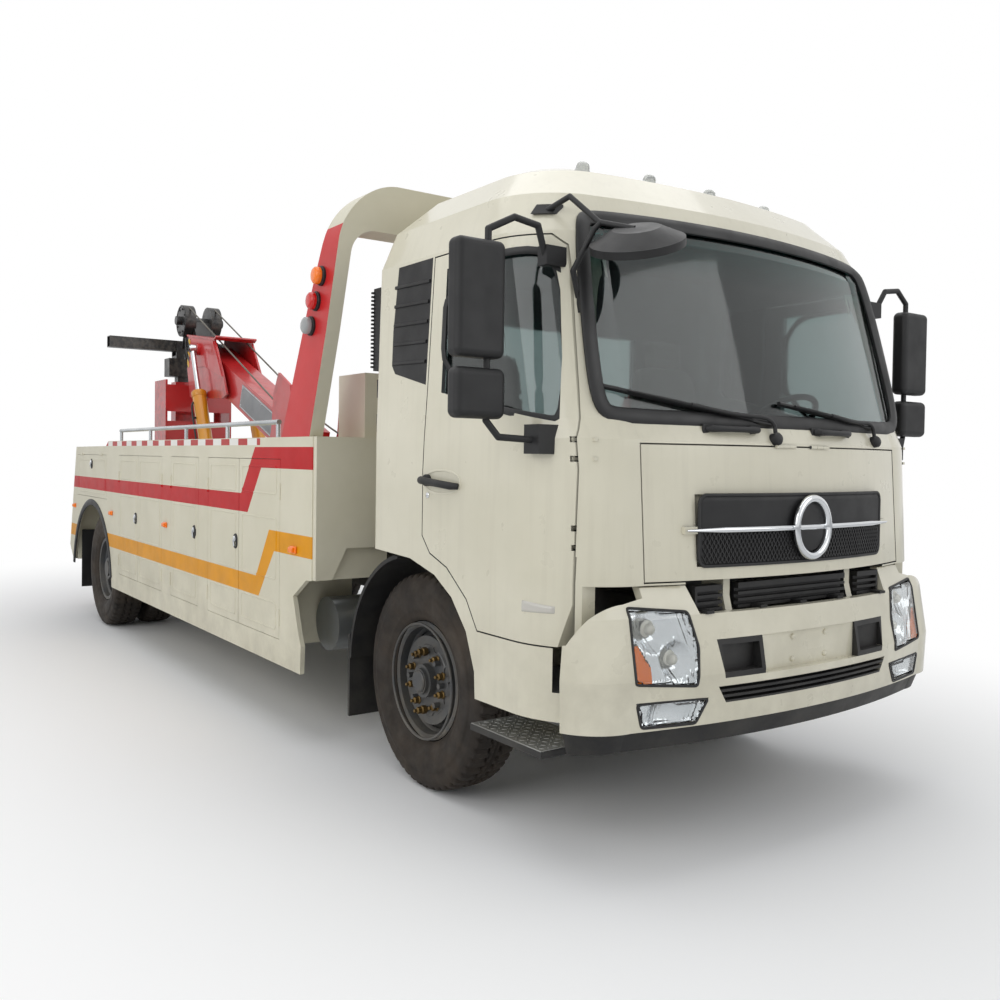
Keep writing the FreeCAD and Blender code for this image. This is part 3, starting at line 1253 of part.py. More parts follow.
def build_portal():
    leg = size("portal_leg")
    top = size("portal_top")
    low = body_top + seat
    beam = 215
    outline = [
        (-half, low), (-(half - leg), low), (-(half - leg), top - beam), (half - leg, top - beam),
        (half - leg, low), (half, low), (half, top), (-half, top),
    ]
    # the inner corners are rounded less than the outer ones
    hoop = plate("yz", outline, (ahead(-1250), ahead(-150)), [(2, 110), (3, 110), (6, 280), (7, 280)])
    lean = plate("xz", [
        (ahead(-1140), low), (ahead(-773), low), (ahead(-585), low + 529), (ahead(-428), low + 1038),
        (ahead(-352), top), (ahead(-525), top), (ahead(-623), low + 994), (ahead(-808), low + 670),
    ], (-half - 5, half + 5))
    node("portal_arch", common(hoop, lean))


def build_handrails():
    pieces = []
    for name, side in SIDES:
        y = side * 1150
        rail = round_bar("x", (ahead(-4900), ahead(-1400)), y, body_top + 92, 15)
        pieces.append(rail)
        for x in (-4885, -4000, -3100, -2250, -1415):
            pieces.append(round_bar("z", (body_top + seat, body_top + 92), ahead(x), y, 13))
    node("handrails", fuse(*pieces))


# ----------------------------------------------------------------------------------------------
# recovery gear
# ----------------------------------------------------------------------------------------------
def build_boom_stand():
    foot_x = ahead(size("boom_foot_x"))
    foot_z = size("boom_foot_z")
    cheeks = []
    for name, side in SIDES:
        y = across(side, 285, 305)
        cheeks.append(plate("xz", [
            (foot_x - 330, deck_z), (foot_x + 380, deck_z), (foot_x + 170, 2110), (foot_x - 60, 2220),
            (foot_x - 160, 2060), (foot_x - 200, 1760), (foot_x - 330, 1500),
        ], y))
    pin = round_bar("y", (-312, 312), foot_x, foot_z, 38)
    tie = block((foot_x + 200, foot_x + 222), (-290, 290), (deck_z, 1500))
    spacers = [round_bar("y", across(side, 144, 290), foot_x, foot_z, 62) for name, side in SIDES]
    # two winches side by side ahead of the foot: drum between flanged cheeks
    winch_x = foot_x + 560
    winches = []
    for name, side in SIDES:
        y0, y1 = across(side, 26, 330)
        winches.append(block((winch_x - 230, winch_x + 230), (y0, y1), (deck_z, deck_z + 60)))
        for end in (30, 304):
            ye = across(side, end, end + 24)
            winches.append(block((winch_x - 150, winch_x + 150), ye, (deck_z + 50, deck_z + 420)))
        winches.append(round_bar("y", across(side, 40, 320), winch_x, deck_z + 260, 95))
        winches.append(round_bar("y", across(side, 320, 420), winch_x, deck_z + 260, 80))
    node("boom_stand", fuse(pin, tie, *(cheeks + winches + spacers)))


def boom_frame(obj):
    """Lay a part built along -X from the foot pin onto the sloping boom."""
    place(obj, ahead(size("boom_foot_x")), 0, size("boom_foot_z"),
          FreeCAD.Rotation(Vector(0, 1, 0), float(size("boom_angle"))))
    obj.setExpression("Placement.Rotation.Angle", "size.boom_angle")
    return obj


# boom head in side view, from the front axle, with the boom at rest
HEAD_CHEEK = [(-6080, 2762), (-5300, 2655), (-5045, 2285), (-4950, 2120), (-5060, 2085), (-5420, 2100),
              (-6030, 2140), (-6120, 2440)]
HEAD_DOUBLER = [(-5960, 2735), (-5320, 2648), (-5060, 2290), (-5560, 2420), (-5900, 2430)]
HEAD_TOP = [(-6110, 2784), (-5290, 2672), (-5240, 2692), (-5232, 2678), (-5285, 2654), (-6110, 2766)]


def along_boom(x, z):
    """Side-view point (from the front axle) in the boom's own frame at the foot pin."""
    turn = math.radians(float(size("boom_angle")))
    dx = x - float(size("boom_foot_x"))
    dz = z - float(size("boom_foot_z"))
    return dx * math.cos(turn) - dz * math.sin(turn), dx * math.sin(turn) + dz * math.cos(turn)


def build_boom():
    high = size("boom_height") / 2
    wide = size("boom_width") / 2
    length = size("boom_length")
    in_high = size("inner_height") / 2
    in_wide = size("inner_width") / 2
    wall = 12
    tube = block((-length, -90), (-wide, wide), (-high, high))
    bore = fuse(
        block((-length + 90, -300), (-wide + wall, wide - wall), (-high + wall, high - wall)),
        block((-length - 5, -length + 95), (-in_wide - seat, in_wide + seat),
              (-in_high - seat, in_high + seat)),
    )
    foot = [block((-140, 60), across(side, 100, 140), (-70, 70)) for name, side in SIDES]
    boss = round_bar("y", (-140, 140), 0, 0, 75)
    pin_hole = round_bar("y", (-200, 200), 0, 0, 38 + seat)
    # saddle head: two cheeks and a top plate round the mouth of the outer boom
    cheek_out = size("head_half")
    in_boom = [along_boom(x, z) for x, z in HEAD_CHEEK]
    top_line = [along_boom(x, z) for x, z in HEAD_TOP]
    saddle = []
    for name, side in SIDES:
        saddle.append(plate("xz", in_boom, across(side, cheek_out - 18, cheek_out)))
        doubler = [along_boom(x, z) for x, z in HEAD_DOUBLER]
        saddle.append(plate("xz", doubler, across(side, cheek_out - 1, cheek_out + 10)))
        for offset_u in (160, 520):
            saddle.append(block((-length + offset_u, -length + offset_u + 16),
                                across(side, wide - 1, cheek_out - 17), (-high + 10, high - 10)))
    saddle.append(plate("xz", top_line, (-cheek_out - 8, cheek_out + 8)))
    eye_u, eye_w = along_boom(float(size("lift_eye_x")), float(size("lift_eye_z")))
    bosses = [round_bar("y", across(side, cheek_out - 1, size("lift_y") - 30), eye_u, eye_w, 60)
              for name, side in SIDES]
    guide = block((-330, -290), (-150, 150), (high, high + 90))
    guide_hole = block((-335, -285), (-135, 135), (high + 10, high + 78))
    body = cut(fuse(tube, boss, *foot), bore, pin_hole)
    node("boom_outer", boom_frame(fuse(body, cut(guide, guide_hole), *(saddle + bosses))))

    stick = block((-length - 760, -length + 1300), (-in_wide, in_wide), (-in_high, in_high))
    hollow = block((-length - 770, -length + 1310), (-in_wide + wall, in_wide - wall),
                   (-in_high + wall, in_high - wall))
    # the sheave head stands on top of the inner boom's tip
    head_x = -length - 680
    head_z = 215
    radius = size("sheave_radius")
    cheeks = []
    for name, side in SIDES:
        drum = round_bar("y", across(side, size("rope_y") - 55, size("rope_y") + 55), head_x, head_z, radius)
        cheeks.append(drum)
    shaft = round_bar("y", (-(size("rope_y") + 110), size("rope_y") + 110), head_x, head_z, 45)
    web = plate("xz", [
        (-length - 760, in_high - 1), (-length - 380, in_high - 1), (head_x + 90, head_z + 20),
        (head_x - 70, head_z + 20),
    ], (-in_wide + 5, in_wide - 5))
    nose = block((-length - 775, -length - 755), (-in_wide - 20, in_wide + 20), (-in_high - 10, in_high + 20))
    node("boom_inner", boom_frame(fuse(cut(stick, hollow), shaft, web, nose, *cheeks)))


def build_lift_cylinders():
    dx = float(size("lift_eye_x")) - float(size("lift_base_x"))
    dz = float(size("lift_eye_z")) - float(size("lift_base_z"))
    lean = FreeCAD.Rotation(Vector(0, 1, 0), math.degrees(math.atan2(dx, dz)))
    full = math.hypot(dx, dz)
    length = size("barrel_length")
    barrels = []
    rods = []
    for name, side in SIDES:
        y = side * size("lift_y")
        eye = round_bar("y", (y - 30, y + 30), 0, 0, 52)
        tube = fuse(round_bar("z", (80, length), 0, y, size("barrel_radius")),
                    round_bar("z", (0, 100), 0, y, 32))
        bore = round_bar("z", (60, length + 5), 0, y, size("rod_radius") + seat)
        pin_hole = round_bar("y", (y - 40, y + 40), 0, 0, 20)
        barrels.append(cut(fuse(eye, tube), bore, pin_hole))
        stem = round_bar("z", (90, full), 0, y, size("rod_radius"))
        top = round_bar("y", (y - 28, y + 28), 0, full, 42)
        # the eye's pin ends against the boss on the boom head
        pin = round_bar("y", across(side, size("lift_y") - 30 + seat, size("lift_y") + 32), 0, full, 22)
        cap = round_bar("y", across(side, size("lift_y") + 28, size("lift_y") + 38), 0, full, 34)
        rods.append(fuse(stem, top, pin, cap))
    # a common cross shaft through both lower eyes makes the barrels one body
    shaft = round_bar("y", (-(size("lift_y") + 58), size("lift_y") + 58), 0, 0, 25 - seat)
    for label, shape in (("lift_barrels", fuse(shaft, *barrels)), ("lift_rods", fuse(*rods))):
        place(shape, ahead(size("lift_base_x")), 0, size("lift_base_z"), lean)
        node(label, shape)


def build_rear_mast():
    x0 = ahead(size("mast_rear"))
    x1 = ahead(size("mast_front"))
    outer = size("mast_half")
    wall = size("mast_wall")
    low = size("mast_low")
    top = size("mast_high")
    cheeks = [block((x0, x1), across(side, outer - wall, outer), (low, top)) for name, side in SIDES]
    lips = [block((x0, x0 + 14), across(side, outer - wall - 40, outer - wall + 1), (low, top))
            for name, side in SIDES]
    # front plates across the mast: low and high, leaving lightening gaps
    fronts = [block((x1 - wall, x1), (-(outer - 1), outer - 1), (z0, z1))
              for z0, z1 in ((low, 1130), (1230, 1560), (1660, 1900), (2000, 2280))]
    node("rear_mast", fuse(*(cheeks + lips + fronts)))


def build_underlift():
    pin_x = ahead(size("arm_pin_x"))
    pin_z = size("arm_pin_z")
    mast_rear = ahead(size("mast_rear"))
    inner = size("mast_half") - size("mast_wall")
    width = size("arm_width") / 2
    depth = size("arm_depth") / 2
    # carriage: block that runs in the mast, cheeks out to the hinge pin
    slide_y = inner - gap
    slide = block((mast_rear + 14 + gap, mast_rear + 160), (-slide_y, slide_y), (pin_z - 150, pin_z + 400))
    pads = [block((mast_rear + 60, mast_rear + 140), across(side, slide_y - 1, inner - seat), (z, z + 120))
            for name, side in SIDES for z in (pin_z - 140, pin_z + 270)]
    neck = block((mast_rear - 20, mast_rear + 30), (-(inner - 50), inner - 50), (pin_z - 150, pin_z + 400))
    ears = []
    for name, side in SIDES:
        y = across(side, width + gap, width + gap + 32)
        ears.append(block((pin_x, mast_rear + 10), y, (pin_z - 90, pin_z + 90)))
        ears.append(round_bar("y", y, pin_x, pin_z, 90))
    pin = round_bar("y", (-(width + 60), width + 60), pin_x, pin_z, 32)
    node("underlift_carriage", fuse(slide, neck, pin, *(ears + pads)))

    top = size("arm_top")
    arm_box = block((pin_x - depth, pin_x + depth), (-width, width), (pin_z, top))
    heel = round_bar("y", (-width, width), pin_x, pin_z, depth)
    hole = round_bar("y", (-width - 5, width + 5), pin_x, pin_z, 32 + seat)
    sd = size("stinger_depth") / 2
    sw = size("stinger_width") / 2
    well = block((pin_x - sd - seat, pin_x + sd + seat), (-(sw + seat), sw + seat), (pin_z + 90, top + 5))
    node("underlift_arm", cut(fuse(arm_box, heel), hole, well))

    bar_z = size("crossbar_z")
    side = size("crossbar_side") / 2
    bar_x = ahead(size("rear_extent")) + side + gap + 22
    stick = block((pin_x - sd, pin_x + sd), (-sw, sw), (pin_z + 130, 2420))
    collar = block((pin_x - sd - 40, pin_x + sd + 20), (-190, 190), (2400, bar_z - side - 86))
    rear_ear = block((bar_x - side - gap - 22, bar_x - side - gap), (-90, 90), (2500, bar_z + 40))
    front_ear = block((bar_x + side + gap, bar_x + side + gap + 22), (-90, 90), (2500, bar_z + 40))
    saddle = block((bar_x - side - gap - 22, pin_x), (-90, 90), (2500, bar_z - side - 46))
    swivel = round_bar("x", (bar_x - side - gap - 22, bar_x + side + gap + 22), 0, bar_z, 26)
    node("underlift_extension", fuse(stick, collar, rear_ear, front_ear, saddle, swivel))

    reach = size("crossbar_half")
    bar = block((bar_x - side, bar_x + side), (-reach, reach), (bar_z - side, bar_z + side))
    bar_hole = round_bar("x", (bar_x - side - 5, bar_x + side + 5), 0, bar_z, 26 + seat)
    ends = [block((bar_x - side + 8, bar_x + side - 8), across(hand, reach - 140, reach + 1),
                  (bar_z - side + 8, bar_z + side - 8)) for name, hand in SIDES]
    node("underlift_crossbar", cut(bar, bar_hole, *ends))


# ----------------------------------------------------------------------------------------------
# build, check, write
# ----------------------------------------------------------------------------------------------
build_chassis()
build_engine()
build_front_axle()
build_rear_axle()
build_tanks()
build_wheels()
build_knuckles()
cab_outer, cab_rows = build_cab()
build_doors(cab_outer, cab_rows)
build_cab_inside()
build_air_intake()
build_front_end()
build_mudguards()
build_body_sides()
build_deck()
build_portal()
build_handrails()
build_boom_stand()
build_boom()
build_lift_cylinders()
build_rear_mast()
build_underlift()

doc.recompute()
for item in doc.Objects:
    if "Invalid" in item.State or "Error" in item.State:
        raise RuntimeError("%s (%s) failed: %s" % (item.Name, item.Label, item.State))
os.makedirs("parts", exist_ok=True)
for item in nodes:
    shape = item.Shape
    if shape.isNull() or not shape.isValid():
        raise RuntimeError("%s has no valid shape" % item.Label)
    shape.exportStep("parts/%s.step" % item.Label)
print("%d nodes" % len(nodes))
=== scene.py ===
import bpy
import bmesh
import math
from mathutils import Vector, Matrix, noise
from mathutils.bvhtree import BVHTree


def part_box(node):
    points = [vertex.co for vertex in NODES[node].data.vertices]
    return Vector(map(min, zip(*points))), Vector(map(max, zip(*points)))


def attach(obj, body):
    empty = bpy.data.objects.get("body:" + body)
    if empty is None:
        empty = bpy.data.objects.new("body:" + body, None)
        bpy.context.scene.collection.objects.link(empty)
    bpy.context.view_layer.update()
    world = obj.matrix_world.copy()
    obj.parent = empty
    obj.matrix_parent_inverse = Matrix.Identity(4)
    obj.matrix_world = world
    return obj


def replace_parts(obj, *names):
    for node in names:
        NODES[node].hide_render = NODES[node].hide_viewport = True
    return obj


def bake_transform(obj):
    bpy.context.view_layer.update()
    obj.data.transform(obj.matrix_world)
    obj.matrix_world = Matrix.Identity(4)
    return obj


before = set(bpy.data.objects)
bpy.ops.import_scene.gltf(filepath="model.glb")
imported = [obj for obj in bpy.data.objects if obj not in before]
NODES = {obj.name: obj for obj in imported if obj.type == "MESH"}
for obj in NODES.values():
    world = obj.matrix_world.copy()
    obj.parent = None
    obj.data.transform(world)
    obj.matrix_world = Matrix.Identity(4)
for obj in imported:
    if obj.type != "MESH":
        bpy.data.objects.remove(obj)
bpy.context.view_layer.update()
HANDS = (("right", -1), ("left", 1))
TAU = 2 * math.pi


def mid(node):
    lo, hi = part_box(node)
    return (lo + hi) / 2


FX = mid("front_tyre_right").x
RX = mid("rear_tyres_right").x
AXLE = mid("front_tyre_right").z


def P(x, y, z):
    """Point with x counted from the front axle."""
    return Vector((FX + x, y, z))


def circle(n, start=0.0):
    """Cosine and sine of n even steps round a full turn."""
    return [(math.cos(TAU * k / n + start), math.sin(TAU * k / n + start)) for k in range(n)]


# ---- camera and lamps
scene = bpy.context.scene
scene.view_settings.view_transform = "Standard"
YAW, PITCH, ROLL = 0.6192, -0.0232, 0.0141
ground_forward = Vector((-math.cos(YAW), math.sin(YAW), 0))
level_right = ground_forward.cross(Vector((0, 0, 1)))
forward = ground_forward * math.cos(PITCH) + Vector((0, 0, 1)) * math.sin(PITCH)
level_up = Vector((0, 0, 1)) * math.cos(PITCH) - ground_forward * math.sin(PITCH)
right = level_right * math.cos(ROLL) + level_up * math.sin(ROLL)
up = level_up * math.cos(ROLL) - level_right * math.sin(ROLL)
cam_data = bpy.data.cameras.new("camera")
cam = bpy.data.objects.new("camera", cam_data)
scene.collection.objects.link(cam)
cam.matrix_world = Matrix((
    (right.x, up.x, -forward.x, FX + 3.8887),
    (right.y, up.y, -forward.y, -3.3487),
    (right.z, up.z, -forward.z, 1.5645),
    (0, 0, 0, 1)))
cam_data.sensor_width = 36
cam_data.lens = 34.7715
cam_data.shift_y = -0.02
cam_data.clip_end = 200
scene.camera = cam

for name, place, aim, width, height, power in (("top", (1, 0, 9), (0, 0, 1), 12, 8, 330),
                                               ("side", (4, -9, 5), (0, 0, 1.2), 9, 5, 235),
                                               ("front", (11, 3, 5), (2, 0, 1.2), 6, 5, 120)):
    data = bpy.data.lights.new(name, "AREA")
    data.shape = "RECTANGLE"
    data.size, data.size_y, data.energy = width, height, power
    lamp = bpy.data.objects.new(name, data)
    scene.collection.objects.link(lamp)
    lamp.location = place
    lamp.rotation_euler = (Vector(aim) - Vector(place)).to_track_quat("-Z", "Y").to_euler()


# ---- node helpers
class Nodes:
    """Short calls that build a node tree; a socket's name is given with _ for its spaces."""

    def __init__(self, tree):
        self.nt = tree

    def new(self, kind, operation=None, **values):
        n = self.nt.nodes.new("ShaderNode" + kind)
        if operation:
            n.operation = operation
        for name, value in values.items():
            self.put(n.inputs[name.replace("_", " ")], value)
        return n

    def link(self, a, b):
        self.nt.links.new(a, b)

    def put(self, socket, value):
        if hasattr(value, "is_linked"):
            self.link(value, socket)
        else:
            socket.default_value = value

    def math(self, op, a, b=0.0):
        n = self.new("Math", op)
        self.put(n.inputs[0], a)
        self.put(n.inputs[1], b)
        return n.outputs[0]

    def times(self, a, b):
        return self.math("MULTIPLY", a, b)

    def above(self, a, b):
        return self.math("GREATER_THAN", a, b)

    def below(self, a, b):
        return self.math("LESS_THAN", a, b)

    def shaders(self, fac, a, b):
        n = self.new("MixShader")
        for socket, value in zip(n.inputs, (fac, a, b)):
            self.put(socket, value)
        return n.outputs[0]


class Tree(Nodes):
    """One procedural material, in the object's own coordinates."""

    def __init__(self, name):
        self.name = name
        self.mat = bpy.data.materials.new(name)
        self.mat.use_nodes = True
        super().__init__(self.mat.node_tree)
        self.bsdf = self.nt.nodes["Principled BSDF"]
        self.coord = self.new("TexCoord").outputs["Object"]
        self.x, self.y, self.z = self.new("SeparateXYZ", Vector=self.coord).outputs

    def noise(self, scale, detail=3, rough=0.55, stretch=None):
        vec = self.new("Mapping", Vector=self.coord, Scale=stretch).outputs[0] if stretch else self.coord
        return self.new("TexNoise", Scale=scale, Detail=detail, Roughness=rough, Vector=vec).outputs["Fac"]

    def span(self, value, a, b, lo=0.0, hi=1.0):
        return self.new("MapRange", Value=value, From_Min=a, From_Max=b, To_Min=lo, To_Max=hi).outputs[0]

    def mix(self, fac, a, b):
        n = self.new("Mix")
        n.data_type = "RGBA"
        for i, value in ((0, fac), (6, a), (7, b)):
            self.put(n.inputs[i], value)
        return n.outputs[2]

    def tone(self, a, b, scale=2.5, detail=4):
        """Two tones of a colour in soft patches."""
        return self.mix(self.span(self.noise(scale, detail), 0.35, 0.7), a, b)

    def uneven(self, lo, hi, scale=9, detail=4):
        """Roughness that wanders between two values."""
        return self.span(self.noise(scale, detail), 0.3, 0.7, lo, hi)

    def dusty(self, col, amount, z_range, scale=4, rough=0.65, cloud=(0.4, 0.75)):
        """Dust in clouds that thicken towards the ground."""
        low = self.span(self.z, z_range[0], z_range[1], 1.0, 0.0)
        clouds = self.span(self.noise(scale, 6, rough), *cloud)
        return self.mix(self.times(self.times(low, clouds), amount), col, DUST)

    def facing(self):
        """The object's normal, as three sockets."""
        return self.new("SeparateXYZ", Vector=self.new("TexCoord").outputs["Normal"]).outputs

    def finish(self, colour, rough, height, strength, distance, **constants):
        """Wires colour, roughness and bump, sets constant sockets and keeps the material."""
        bump = self.new("Bump", Strength=strength, Distance=distance, Height=height).outputs[0]
        for name, value in dict(Base_Color=colour, Roughness=rough, Normal=bump, **constants).items():
            self.put(self.bsdf.inputs[name.replace("_", " ")], value)
        MATS[self.name] = self.mat


# ---- backdrop
world = bpy.data.worlds.new("studio")
scene.world = world
world.use_nodes = True
world.node_tree.nodes.clear()
w = Nodes(world.node_tree)
height = w.new("SeparateXYZ", Vector=w.new("TexCoord").outputs["Generated"]).outputs["Z"]
sky = w.new("ValToRGB", Fac=w.new("MapRange", Value=height, From_Min=-1, From_Max=1).outputs[0])
for stop, place, colour in zip(sky.color_ramp.elements, (0.36, 0.62), ((0.42, 0.42, 0.41, 1), (0.86, 0.88, 0.90, 1))):
    stop.position = place
    stop.color = colour
plain = w.new("Background", Color=sky.outputs[0], Strength=0.62)
white = w.new("Background", Color=(1, 1, 1, 1), Strength=1.0)
ray = w.new("LightPath").outputs
seen = w.math("MAXIMUM", w.math("MAXIMUM", ray["Is Camera Ray"], ray["Is Glossy Ray"]), ray["Is Transmission Ray"])
w.link(w.shaders(seen, plain.outputs[0], white.outputs[0]), w.new("OutputWorld").inputs[0])


# ---- materials
def rgb(text):
    """Linear colour of a hex code."""
    out = []
    for i in (0, 2, 4):
        c = int(text[i:i + 2], 16) / 255
        out.append(c / 12.92 if c < 0.04045 else ((c + 0.055) / 1.055) ** 2.4)
    return (*out, 1.0)


def shade(c, k):
    return (c[0] * k, c[1] * k, c[2] * k, 1)


MATS = {}
DUST, CREAM, CREAM_2, RED = [rgb(c) for c in ("8A8272", "D8D3BF", "D0CBB6", "C8282A")]


def surface(name, colour, other, rough, grain=(60, 0.05, 0.001), metal=0.0, coat=0.0, dust=None, wear=None,
            specular=0.5):
    """Paint, plastic or metal with patches and grain; dust is (amount, z range), wear (colour, amount)."""
    t = Tree(name)
    col = t.tone(rgb(colour), rgb(other))
    if dust:
        col = t.dusty(col, dust[0], dust[1:], 5, cloud=(0.35, 0.72))
    if wear:
        edges = t.span(t.new("NewGeometry").outputs["Pointiness"], 0.52, 0.62)
        worn = t.times(edges, t.span(t.noise(22, 4), 0.4, 0.6))
        col = t.mix(t.times(worn, wear[1]), col, rgb(wear[0]))
    t.finish(col, t.uneven(*rough), t.noise(grain[0], 3), grain[1], grain[2], Metallic=metal, Coat_Weight=coat,
             Coat_Roughness=0.08, Specular_IOR_Level=specular)


surface("cream_paint", "D8D3BF", "D0CBB6", (0.26, 0.36), (140, 0.02, 0.0004), coat=0.6, dust=(0.35, 0.45, 1.25))
surface("red_paint", "C8282A", "B82225", (0.3, 0.42), (120, 0.03, 0.0005), coat=0.4, dust=(0.25, 0.6, 2.6),
        wear=("6A1A18", 0.5))
surface("chassis_black", "1B1B1C", "252423", (0.5, 0.75), (45, 0.25, 0.002), dust=(0.6, 0.1, 1.4))
surface("engine_grey", "55585A", "46484A", (0.45, 0.7), (70, 0.3, 0.002), metal=0.4, dust=(0.5, 0.3, 1.6))
surface("black_plastic", "19191A", "212122", (0.45, 0.6), (420, 0.35, 0.0006), dust=(0.12, 0.3, 1.3), specular=0.4)
surface("bright_steel", "C2C5C8", "A9ADB0", (0.16, 0.3), (90, 0.06, 0.0006), metal=1.0)
surface("chrome", "D8DADC", "C6C9CC", (0.05, 0.12), (60, 0.02, 0.0004), metal=1.0)
surface("chrome_rod", "D5D8DA", "BFC3C6", (0.06, 0.14), (90, 0.02, 0.0004), metal=1.0)
surface("dark_trim", "2B2C2E", "343536", (0.5, 0.7), (300, 0.3, 0.0006))
surface("rim_grey", "4B4D50", "3E4042", (0.38, 0.55), (60, 0.12, 0.001), metal=0.35, dust=(0.55, 0.1, 0.95),
        wear=("7A6A50", 0.35))
surface("gear_black", "171718", "201F1F", (0.35, 0.55), (70, 0.12, 0.001), coat=0.2, dust=(0.2, 0.5, 2.6),
        wear=("5A544C", 0.5))
surface("cylinder_yellow", "E7A01C", "D98F12", (0.28, 0.4), coat=0.4, dust=(0.2, 0.8, 2.4))
surface("brass", "7A6238", "5C4A2C", (0.3, 0.5), (120, 0.2, 0.001), metal=0.8)
surface("rope_steel", "77736A", "5E5B54", (0.4, 0.6), (500, 0.8, 0.001), metal=0.7)
surface("amber", "FF8408", "F57204", (0.12, 0.25), (260, 0.2, 0.0008), coat=0.25)
surface("red_lens", "D2120E", "B80D0A", (0.12, 0.25), (260, 0.2, 0.0008), coat=0.25)
surface("rubber_seal", "0F0F10", "161617", (0.42, 0.6), (220, 0.12, 0.0006))
surface("plate_grey", "8F9296", "7E8185", (0.35, 0.5), (90, 0.1, 0.0006), metal=0.4)
surface("step_grey", "9A9B99", "7C7C79", (0.35, 0.55), metal=0.6, dust=(0.5, 0.2, 0.8))
surface("bulb", "E9E6DA", "D5D2C6", (0.1, 0.2), coat=0.5)
surface("lamp_cover", "C9C6BE", "B4AFA6", (0.1, 0.2), (320, 0.3, 0.0008), coat=0.5)
surface("mirror_face", "AEB6BB", "9FA8AD", (0.02, 0.05), (8, 0.01, 0.0004), metal=1.0)


def glass_material(name, tint, rough, dirt, weight=1.0):
    t = Tree(name)
    t.finish(t.tone(tint, shade(tint, 0.93), 3), t.span(t.noise(7, 6, 0.7), 0.4, 0.8, rough, rough + dirt),
             t.noise(1.1, 2), 0.03, 0.002, Transmission_Weight=weight, IOR=1.45)


glass_material("clear_lens", rgb("F4F6F6"), 0.01, 0.02)
glass_material("clear_cap", rgb("DDE0E0"), 0.08, 0.1, 0.55)

# windscreen and windows: green-grey, with a soft green shade band at the top edge
t = Tree("glass")
t.finish(t.mix(t.span(t.z, 2.30, 2.47), rgb("9DA9A8"), rgb("1E7F78")),
         t.span(t.noise(5, 6, 0.7), 0.35, 0.8, 0.015, 0.10), t.noise(0.9, 2), 0.02, 0.002,
         Transmission_Weight=1.0, IOR=1.5)

t = Tree("tyre")
col = t.mix(t.span(t.noise(6, 5), 0.3, 0.75), rgb("211E1B"), rgb("37302A"))
col = t.mix(t.times(t.span(t.noise(2.2, 5, 0.7), 0.45, 0.8), 0.55), col, rgb("5B4F42"))
t.finish(col, t.uneven(0.62, 0.85, 14, 3), t.noise(180, 4), 0.25, 0.001, Specular_IOR_Level=0.3)

t = Tree("seat_cloth")
weave = t.new("TexWave", Scale=260, Vector=t.coord).outputs["Fac"]
col = t.mix(t.times(weave, 0.35), t.tone(rgb("6E6A64"), rgb("57534E"), 6), rgb("3D3A37"))
t.finish(col, t.uneven(0.8, 0.95, 30, 3), weave, 0.4, 0.001, Sheen_Weight=0.3)

# body sides: cream with a red band, a yellow band and a reflector strip along the top edge
t = Tree("livery")
x = t.math("SUBTRACT", t.x, FX)
outside = t.above(t.math("ABSOLUTE", t.y), 1.236)
col = t.tone(CREAM, CREAM_2)
for colour, u0, u1, l0, l1 in (
        (rgb("BE1A1E"), (-1.746, 1.3301), (-1.528, 1.606), (-1.638, 1.2204), (-1.430, 1.487)),
        (rgb("E39A10"), (-1.497, 0.859), (-1.306, 1.139), (-1.455, 0.746), (-1.231, 1.024))):
    under = t.below(t.z, t.span(x, u0[0], u1[0], u0[1], u1[1]))
    over = t.above(t.z, t.span(x, l0[0], l1[0], l0[1], l1[1]))
    band = t.tone(colour, shade(colour, 0.88), 7)
    col = t.mix(t.times(t.times(under, over), outside), col, band)
strip = t.times(t.times(t.above(t.z, 1.617), t.below(t.z, 1.656)), outside)
strip = t.times(strip, t.below(x, -1.45))
cells = t.above(t.math("SINE", t.times(x, math.pi / 0.15)), 0.0)
col = t.mix(t.times(strip, 0.95), col, t.mix(cells, rgb("E9E7E2"), rgb("B3262A")))
t.finish(t.dusty(col, 0.4, (0.42, 1.0)), t.uneven(0.34, 0.42), t.noise(1.6, 3), 0.04, 0.01, Specular_IOR_Level=0.12)

# portal arch: red side faces, cream front, back and top
t = Tree("portal_paint")
side = t.above(t.math("ABSOLUTE", t.facing()["Y"]), 0.6)
col = t.mix(t.times(side, t.below(t.z, 2.70)), t.tone(CREAM, CREAM_2), t.tone(RED, shade(RED, 0.85), 3))
t.finish(col, t.uneven(0.34, 0.42), t.noise(130, 3), 0.02, 0.0005, Coat_Weight=0.1, Specular_IOR_Level=0.25)

t = Tree("hazard")
along = t.math("ADD", t.z, t.math("ADD", t.x, t.y))
col = t.mix(t.above(t.math("SINE", t.times(along, 48.0)), 0.0), rgb("1A1917"), rgb("E2AE1B"))
col = t.mix(t.times(t.span(t.noise(18, 4), 0.5, 0.8), 0.35), col, rgb("6A6358"))
for value, socket in ((col, "Base Color"), (t.uneven(0.35, 0.5, 9, 3), "Roughness")):
    t.link(value, t.bsdf.inputs[socket])
MATS["hazard"] = t.mat

